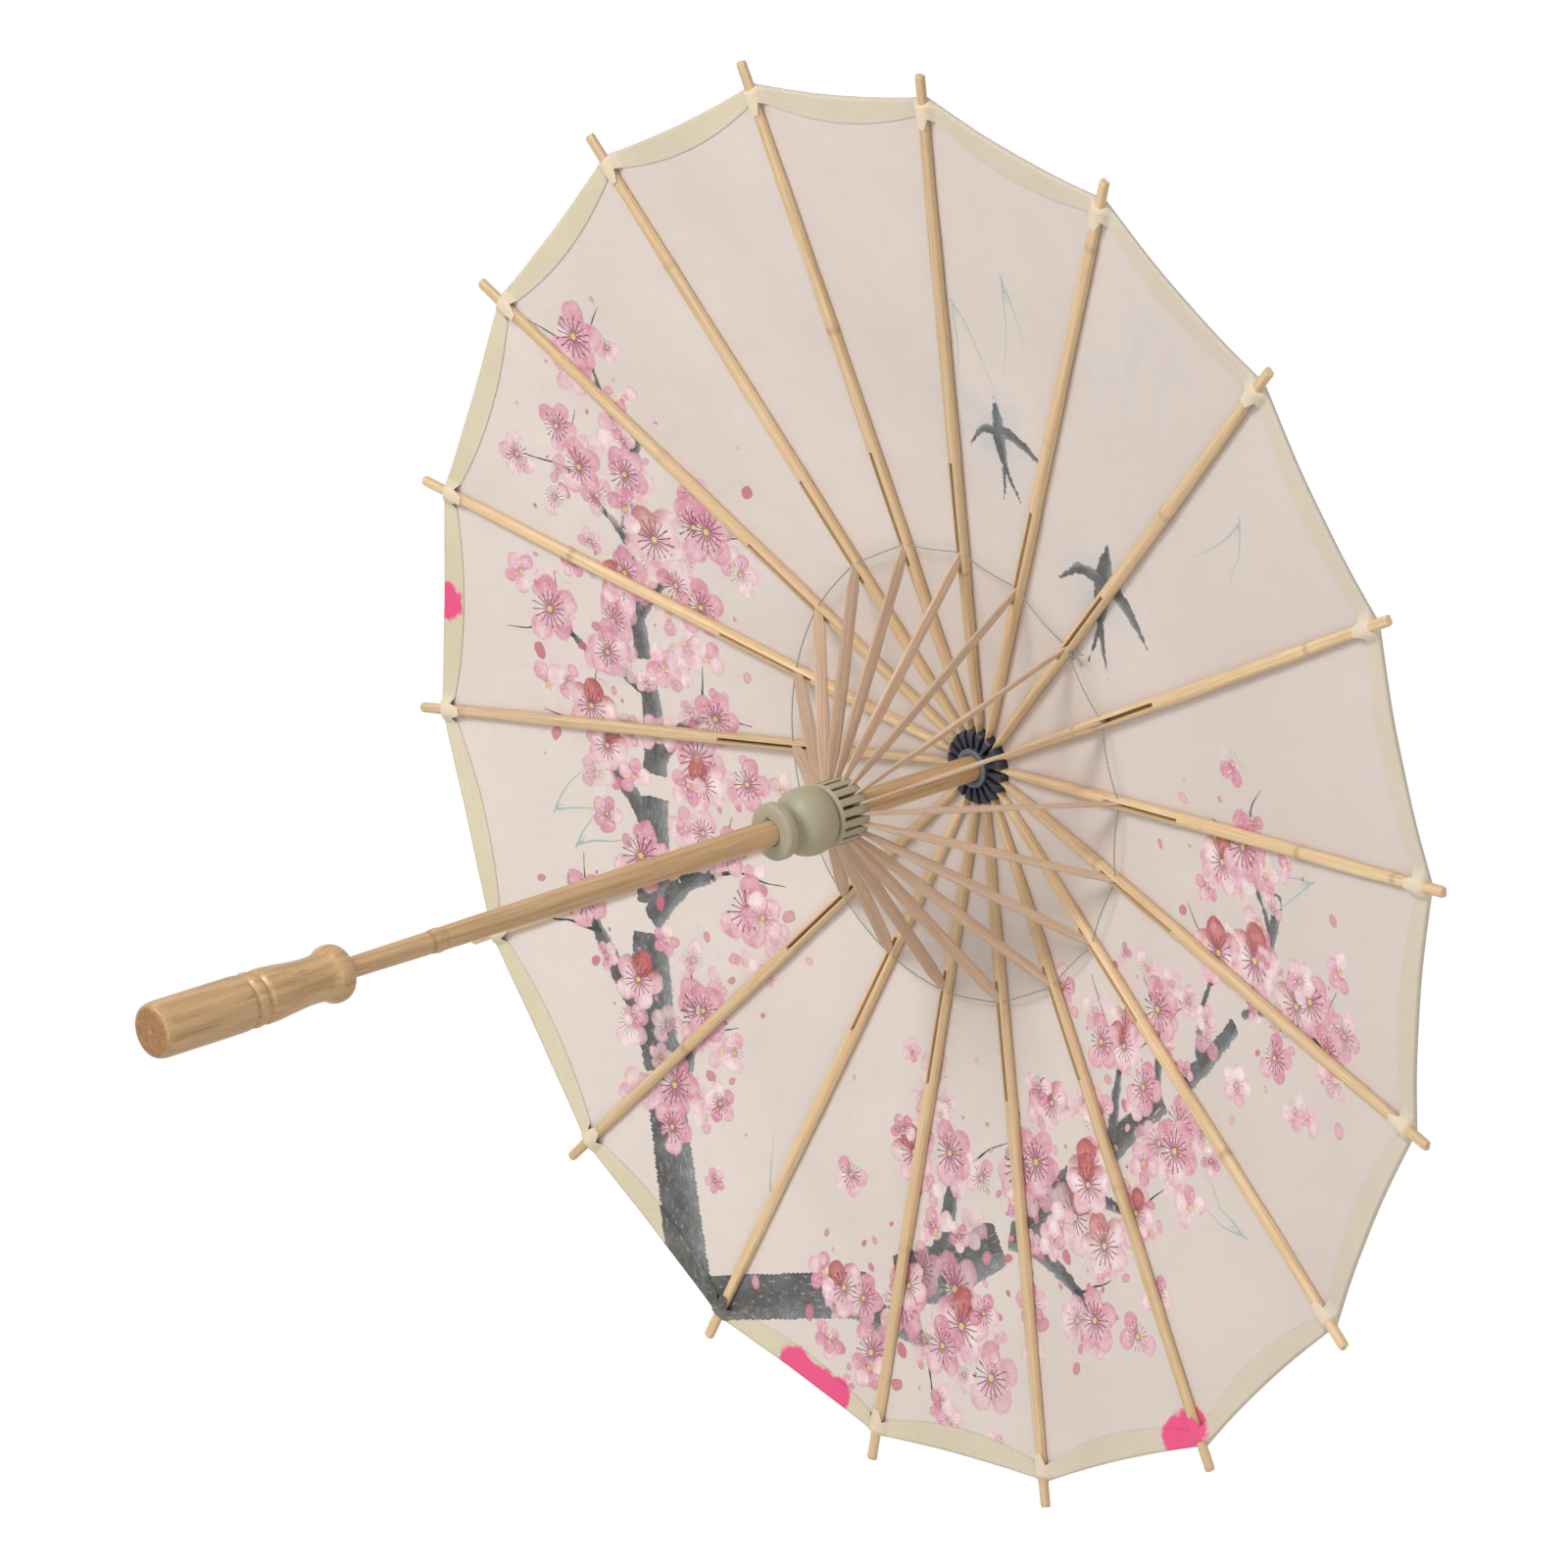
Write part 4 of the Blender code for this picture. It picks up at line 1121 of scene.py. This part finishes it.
# %% Weave group
weave, given, out = new_group(
    "plain_weave", [("Cloth", "Vector", (0, 0, 0)), ("Threads", "Float", 900.0)],
    [("Height", "Float"), ("Slub", "Float")])
bands = [node(weave, "TexWave", {"Vector": given["Cloth"], "Scale": given["Threads"],
                                 "Distortion": 1.2, "Detail": 1.0},
              wave_type="BANDS", bands_direction=way).outputs[1] for way in "XY"]
join(times(calc("ADD", *bands), 0.5), out["Height"])
ways = [node(weave, "VectorMath", given["Cloth"], way, operation="MULTIPLY").outputs[0]
        for way in ((1.0, 0.06, 1.0), (0.06, 1.0, 1.0))]
slubs = times(calc("ADD", *[noise(way, 700.0, 2.0) for way in ways]), 0.5)
join(ranged(slubs, 0.38, 0.62), out["Slub"])
print("weave group nodes:", len(weave.nodes))

# %% [markdown]
# The canopy's finish lays the print over the cloth in the order a painter would: washes,
# boughs with dry-brush streaks, twigs, loose petals, then four layers of flowers and
# their stamens. The cloth's own colour varies with slow clouds, and painted shade makes it a
# little darker and greyer towards one side of the plan. The hem is a strip of the same cloth
# folded under, greener because it is double, and takes the washes too.

# %% Cloth finishes
def base_cloth(tree, bsdf, light, dark, slub_share):
    """The woven ground: clouds, slubs, painted side shade, weave bump and roughness; gives colour
    and place.
    """
    place = node(tree, "UVMap", uv_map="flat").outputs[0]
    spots = use(tree, mottle, Place=place, Scale=14.0)
    cloth = use(tree, weave, Cloth=place, Threads=520.0)
    colour = mixed(spots["Cloud"], light, dark)
    shadow = times(cloth["Slub"], slub_share)
    colour = mixed(shadow, colour, srgb(176, 160, 150))
    # Painted shade: the cloth is darker and greyer towards +y of the plan, broken by the clouds.
    side = node(tree, "SeparateXYZ", place).outputs[1]
    painted_side_shade = scaled(spots["Cloud"], 0.12, side)
    colour = mixed(ranged(painted_side_shade, 0.34, 0.74, 0.0, 0.45), colour, srgb(200, 189, 184))
    surface(bsdf, ranged(cloth["Slub"], 0, 1, 0.66, 0.86), 0.35, 0.00012,
            scaled(noise(place, 55.0, 3.0), 5.0, cloth["Height"]))
    return colour, place


def add_washes(tree, colour, place):
    """Hot pink, pale pink and blue-grey washes with uneven watercolour edges."""
    washes = node(tree, "SeparateXYZ", stored(tree, "wash")).outputs
    edge = noise(place, 90.0, 5.0, 0.62)
    softly = scaled(edge, 1.5, -0.75)
    for spot, tint, most, low, high in (
        (washes[1], srgb(232, 186, 200), 0.50, 0.25, 0.85),
        (washes[2], srgb(184, 194, 204), 0.60, 0.25, 0.85),
        (washes[0], srgb(236, 64, 132), 0.92, 0.42, 0.62)):
        amount = ranged(calc("ADD", spot, softly), low, high, 0.0, most)
        present = ranged(spot, 0.05, 0.2)
        colour = mixed(times(amount, present), colour, tint)
    return colour


def add_boughs(tree, colour, place):
    """Charcoal strokes: a ragged edge, pooled blue-grey ink and dry streaks along them."""
    edge = noise(place, 240.0, 5.0, 0.68)
    stroke = node(tree, "SeparateXYZ", stored(tree, "bough")).outputs
    ragged = calc("ADD", stroke[2], scaled(edge, 4.4, -2.2))
    body = ranged(ragged, 0.25, -0.20)
    brush_place = node(tree, "CombineXYZ", times(stroke[0], 2.8),
                       times(stroke[1], 0.07), 0.0).outputs[0]
    dry = noise(brush_place, 3.2, 5.0, 0.75)
    pool = noise(place, 70.0, 4.0, 0.6)
    ink = mixed(ranged(pool, 0.44, 0.72), srgb(72, 72, 73), srgb(108, 114, 118))
    lit_side = scaled(dry, 1.6, calc("SUBTRACT", stroke[0], 0.8))
    ink = mixed(ranged(lit_side, 0.1, 1.1, 0.0, 0.55), ink, srgb(168, 176, 180))
    ink = mixed(ranged(dry, 0.56, 0.63, 0, 0.5), ink, srgb(176, 182, 184))
    thin = ranged(dry, 0.70, 0.62, 0.2, 0.94)
    return mixed(times(body, thin), colour, ink)


canopy_cloth, tree, bsdf = finish_start("canopy_cloth", Sheen_Weight=0.15, Specular_IOR_Level=0.25)
colour, place = base_cloth(tree, bsdf, srgb(229, 218, 212), srgb(222, 211, 204), 0.07)
colour = add_washes(tree, colour, place)
colour = add_boughs(tree, colour, place)
edge = noise(place, 260.0, 4.0, 0.6)
line = node(tree, "SeparateXYZ", stored(tree, "twig")).outputs
width = times(calc("ABSOLUTE", line[2]), ranged(edge, 0.3, 0.7, 0.6, 1.5))
inside_line = ranged(calc("SUBTRACT", calc("ABSOLUTE", line[0]), width), 0.14, -0.14)
inside_line = times(inside_line, ranged(line[1], 2.0, 1.7))
twig_colour = mixed(ranged(line[2], -0.05, 0.05), srgb(168, 186, 178), srgb(70, 74, 76))
colour = mixed(inside_line, colour, twig_colour)
drop = node(tree, "SeparateXYZ", stored(tree, "petal")).outputs
oval = root_of_squares(times(drop[0], 1.35), drop[1])
oval = calc("ADD", oval, scaled(edge, 0.9, -0.45))
drop_tint = mixed(drop[2], srgb(232, 190, 200), srgb(194, 100, 118))
drop_tint = mixed(ranged(oval, 0.5, 1.0, 0, 0.6), drop_tint, srgb(190, 104, 126))
drop_cover = times(ranged(oval, 1.05, 0.92, 0, 0.85),
                   ranged(stored(tree, "petal_distance", "Fac"), 1.3, 1.2))
colour = mixed(drop_cover, colour, drop_tint)
LAYER_COVER = (0.95, 0.90, 0.74, 0.62)
for layer in (3, 2, 1, 0):
    flower = use(tree, blossom, Place=stored(tree, f"bloom_{layer}"), Cloth=place,
                 Distance=stored(tree, f"bloom_{layer}_distance", "Fac"))
    amount = times(flower["Cover"], LAYER_COVER[layer])
    colour = mixed(amount, colour, flower["Color"])
    colour = mixed(times(flower["Ink"], 0.9), colour, srgb(96, 62, 84))
join(colour, bsdf["Base Color"])

hem_cloth, tree, bsdf = finish_start("hem_cloth", Sheen_Weight=0.15, Specular_IOR_Level=0.3)
colour, place = base_cloth(tree, bsdf, srgb(225, 215, 187), srgb(213, 203, 174), 0.10)
over_rib = times(stored(tree, "sleeve", "Fac"), 0.75)
colour = mixed(over_rib, colour, srgb(232, 214, 190))
colour = add_boughs(tree, add_washes(tree, colour, place), place)
join(colour, bsdf["Base Color"])
print("canopy finish nodes:", len(canopy_cloth.node_tree.nodes))

# %% [markdown]
# Each sector becomes an open grid with a thickness added on its upper side. Its flat map
# is the plan of the whole canopy, so weave and washes run on from sector to sector. When
# the umbrella closes, cloth between two ribs folds into a pleat.

# %% Canopy sheets
def open_faces(rows, across):
    """Quads of an open grid, facing up."""
    i, j = np.meshgrid(np.arange(rows - 1), np.arange(across - 1), indexing="ij")
    base = (i * across + j).ravel()
    return [np.stack([base, base + across, base + across + 1, base + 1], -1)]


def flat_map(made, places):
    """A UV map named flat that holds each point's plan position in metres."""
    layer = made.data.uv_layers.new(name="flat")
    corner = np.zeros(len(made.data.loops), np.int32)
    made.data.loops.foreach_get("vertex_index", corner)
    layer.data.foreach_set("uv", (places[corner] + 0.5).astype(np.float32).ravel())


def cloth_piece(name, grid, finish, thick, number):
    """An open cloth grid with thickness, riding its rib."""
    rows, across = grid.shape[:2]
    made = mesh_object(name, grid.reshape(-1, 3), open_faces(rows, across), finish)
    flat_map(made, grid.reshape(-1, 3)[:, :2])
    ends = np.zeros(2 * len(made.data.edges), np.int32)
    made.data.edges.foreach_get("vertices", ends)
    row, column = (ends // across).reshape(-1, 2), (ends % across).reshape(-1, 2)
    on_rim = np.zeros(len(row), bool)
    for place, last in ((row, rows - 1), (column, across - 1)):
        on_rim |= (place == 0).all(1) | (place == last).all(1)
    made.data.attributes.new("sharp_edge", "BOOLEAN", "EDGE").data.foreach_set("value", on_rim)
    wall = made.modifiers.new("thickness", "SOLIDIFY")
    wall.thickness, wall.offset = thick, 1.0
    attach(made, f"rib_{number:02d}")
    return made


def narrow(made):
    """Give a piece its own copy of its mesh."""
    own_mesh(made)


HEM_WIDE, HEM_THICK, NARROWED = 0.0105, 0.00018, 0.1
t = np.linspace(0, 1, 11)[:, None]
hem_v = (power(np.linspace(-1, 1, 81), 1.3))[None, :]
middle_share = np.sin(0.5 * math.pi * np.abs(hem_v)) ** 0.8
sleeve = np.clip(1.6 - np.abs(hem_v) / 0.055, 0, 1) ** 0.7
hem_share = np.maximum(0.50 + 0.50 * middle_share, 1.10 * sleeve)
hem_rho = CLOTH_RIM + 0.0005 - t * HEM_WIDE * hem_share
hem_x, hem_y, hem_z = canopy_point(hem_rho, hem_v)
hump = 0.0033 * np.clip(1.28 - np.abs(hem_y) / 0.0040, 0, 1) ** 0.6 * np.clip(t * 6, 0, 1)
hem_z = hem_z - 0.00022 - hump
rise = np.stack([hem_x[0] + 0.0003, hem_y[0], hem_z[0] + 0.0014])[:, None]
over = np.stack([hem_x[0] - 0.0016, hem_y[0],
                 hem_z[0] + 0.00165 + 0.0016 * math.tan(SLOPE)])[:, None]
hem_x, hem_y, hem_z = np.concatenate([over, rise, np.stack([hem_x, hem_y, hem_z])], 1)

SECTOR = ROWS * COLUMNS
for number in NUMBERS:
    own_part = slice((number - 1) * SECTOR, number * SECTOR)
    sheet = cloth_piece(f"canopy_cloth_{number:02d}", sectors[number - 1], canopy_cloth,
                        CLOTH_THICK, number)
    for name, values in (("bough", bough), ("twig", twig), ("wash", wash)):
        keep(sheet, name, values[own_part])
    for name, values in [("petal", petal)] + [(f"bloom_{k}", bloom[k]) for k in range(LAYERS)]:
        keep(sheet, name, values[own_part, :3])
        keep(sheet, name + "_distance", values[own_part, 3])
    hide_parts(f"canopy_sector_{number:02d}")
    hem_grid = about_axis(hem_x, hem_y, hem_z, number)
    hem = cloth_piece(f"canopy_hem_{number:02d}", hem_grid, hem_cloth, HEM_THICK, number)
    hem_plan = hem_grid.reshape(-1, 3)[:, :2] * 1000.0
    keep(hem, "wash", wash_of(hem_plan))
    keep(hem, "bough", bough_of(hem_plan))
    keep(hem, "sleeve", np.broadcast_to(sleeve, hem_x.shape).ravel())
    narrow(sheet)
    narrow(hem)

# %% [markdown]
# A thread runs through every rib at the stretchers' joints and keeps them evenly spaced.
# Each rib carries its share of it: a thin tube along the chords to the middle of the gaps
# on both sides. At one rib the thread is tied, in a small coil with two short tails.

# %% Ring thread and its knot
THREAD_HALF, KNOT_HALF, KNOT_RIB, SIDES = 0.00024, 0.00026, 4, 8


def strand(name, centre, thick, number):
    """A thin tube of thread: a circle carried along a path, square to the path's direction.
    It rides its rib."""
    ahead = np.gradient(centre, axis=0)
    ahead /= np.linalg.norm(ahead, axis=1, keepdims=True)
    first = np.cross(ahead, [0.13, 0.21, 1.0])
    first /= np.linalg.norm(first, axis=1, keepdims=True)
    second = np.cross(ahead, first)
    a = np.linspace(0, 2 * math.pi, SIDES, endpoint=False)[None, :, None]
    grid = centre[:, None] + thick * (np.cos(a) * first[:, None] + np.sin(a) * second[:, None])
    made = tube(name, grid, thread)
    run = np.concatenate([[0], np.cumsum(np.linalg.norm(np.diff(centre, axis=0), axis=1))])
    around = np.arange(SIDES) * thick
    local = np.stack([*np.meshgrid(run, around, indexing="ij"), np.zeros((len(run), SIDES))], -1)
    wooden(made, local.reshape(-1, 3), 0.5)
    belongs(made, f"rib_{number:02d}")
    narrow(made)


v = np.linspace(-1, 1, 41)
for number in NUMBERS:
    dip = -0.0016 * (1 - (1 - np.abs(v)) ** 2)
    x = JOINT_R * (1 - np.abs(v) * (1 - math.cos(HALF) ** 2))
    y = JOINT_R * v * math.sin(HALF) * math.cos(HALF)
    line_path = about_axis(x, y, JOINT_Z - 0.0009 + dip, number)
    strand(f"ring_thread_{number:02d}", line_path, THREAD_HALF, number)

turns_t = np.linspace(0, 1, 60)
coil = np.stack([JOINT_R + 0.0009 * np.cos(7 * math.pi * turns_t), 0.0030 + 0.0022 * turns_t,
                 JOINT_Z - 0.0012 + 0.0009 * np.sin(7 * math.pi * turns_t)], -1)
tail_t = np.linspace(0, 1, 16)
tail = np.stack([JOINT_R + 0.0008 + 0.009 * tail_t, 0.0052 + 0.004 * tail_t ** 2,
                 JOINT_Z - 0.0012 - 0.004 * tail_t], -1)
other = np.stack([JOINT_R + 0.0008 + 0.006 * tail_t, 0.0052 + 0.007 * tail_t,
                  JOINT_Z - 0.0016 - 0.005 * tail_t ** 2], -1)
for name, centre in (("thread_knot", coil), ("thread_tail_a", tail), ("thread_tail_b", other)):
    strand(name, about_axis(*centre.T, KNOT_RIB), KNOT_HALF, KNOT_RIB)
print("thread pieces:", COUNT + 3)
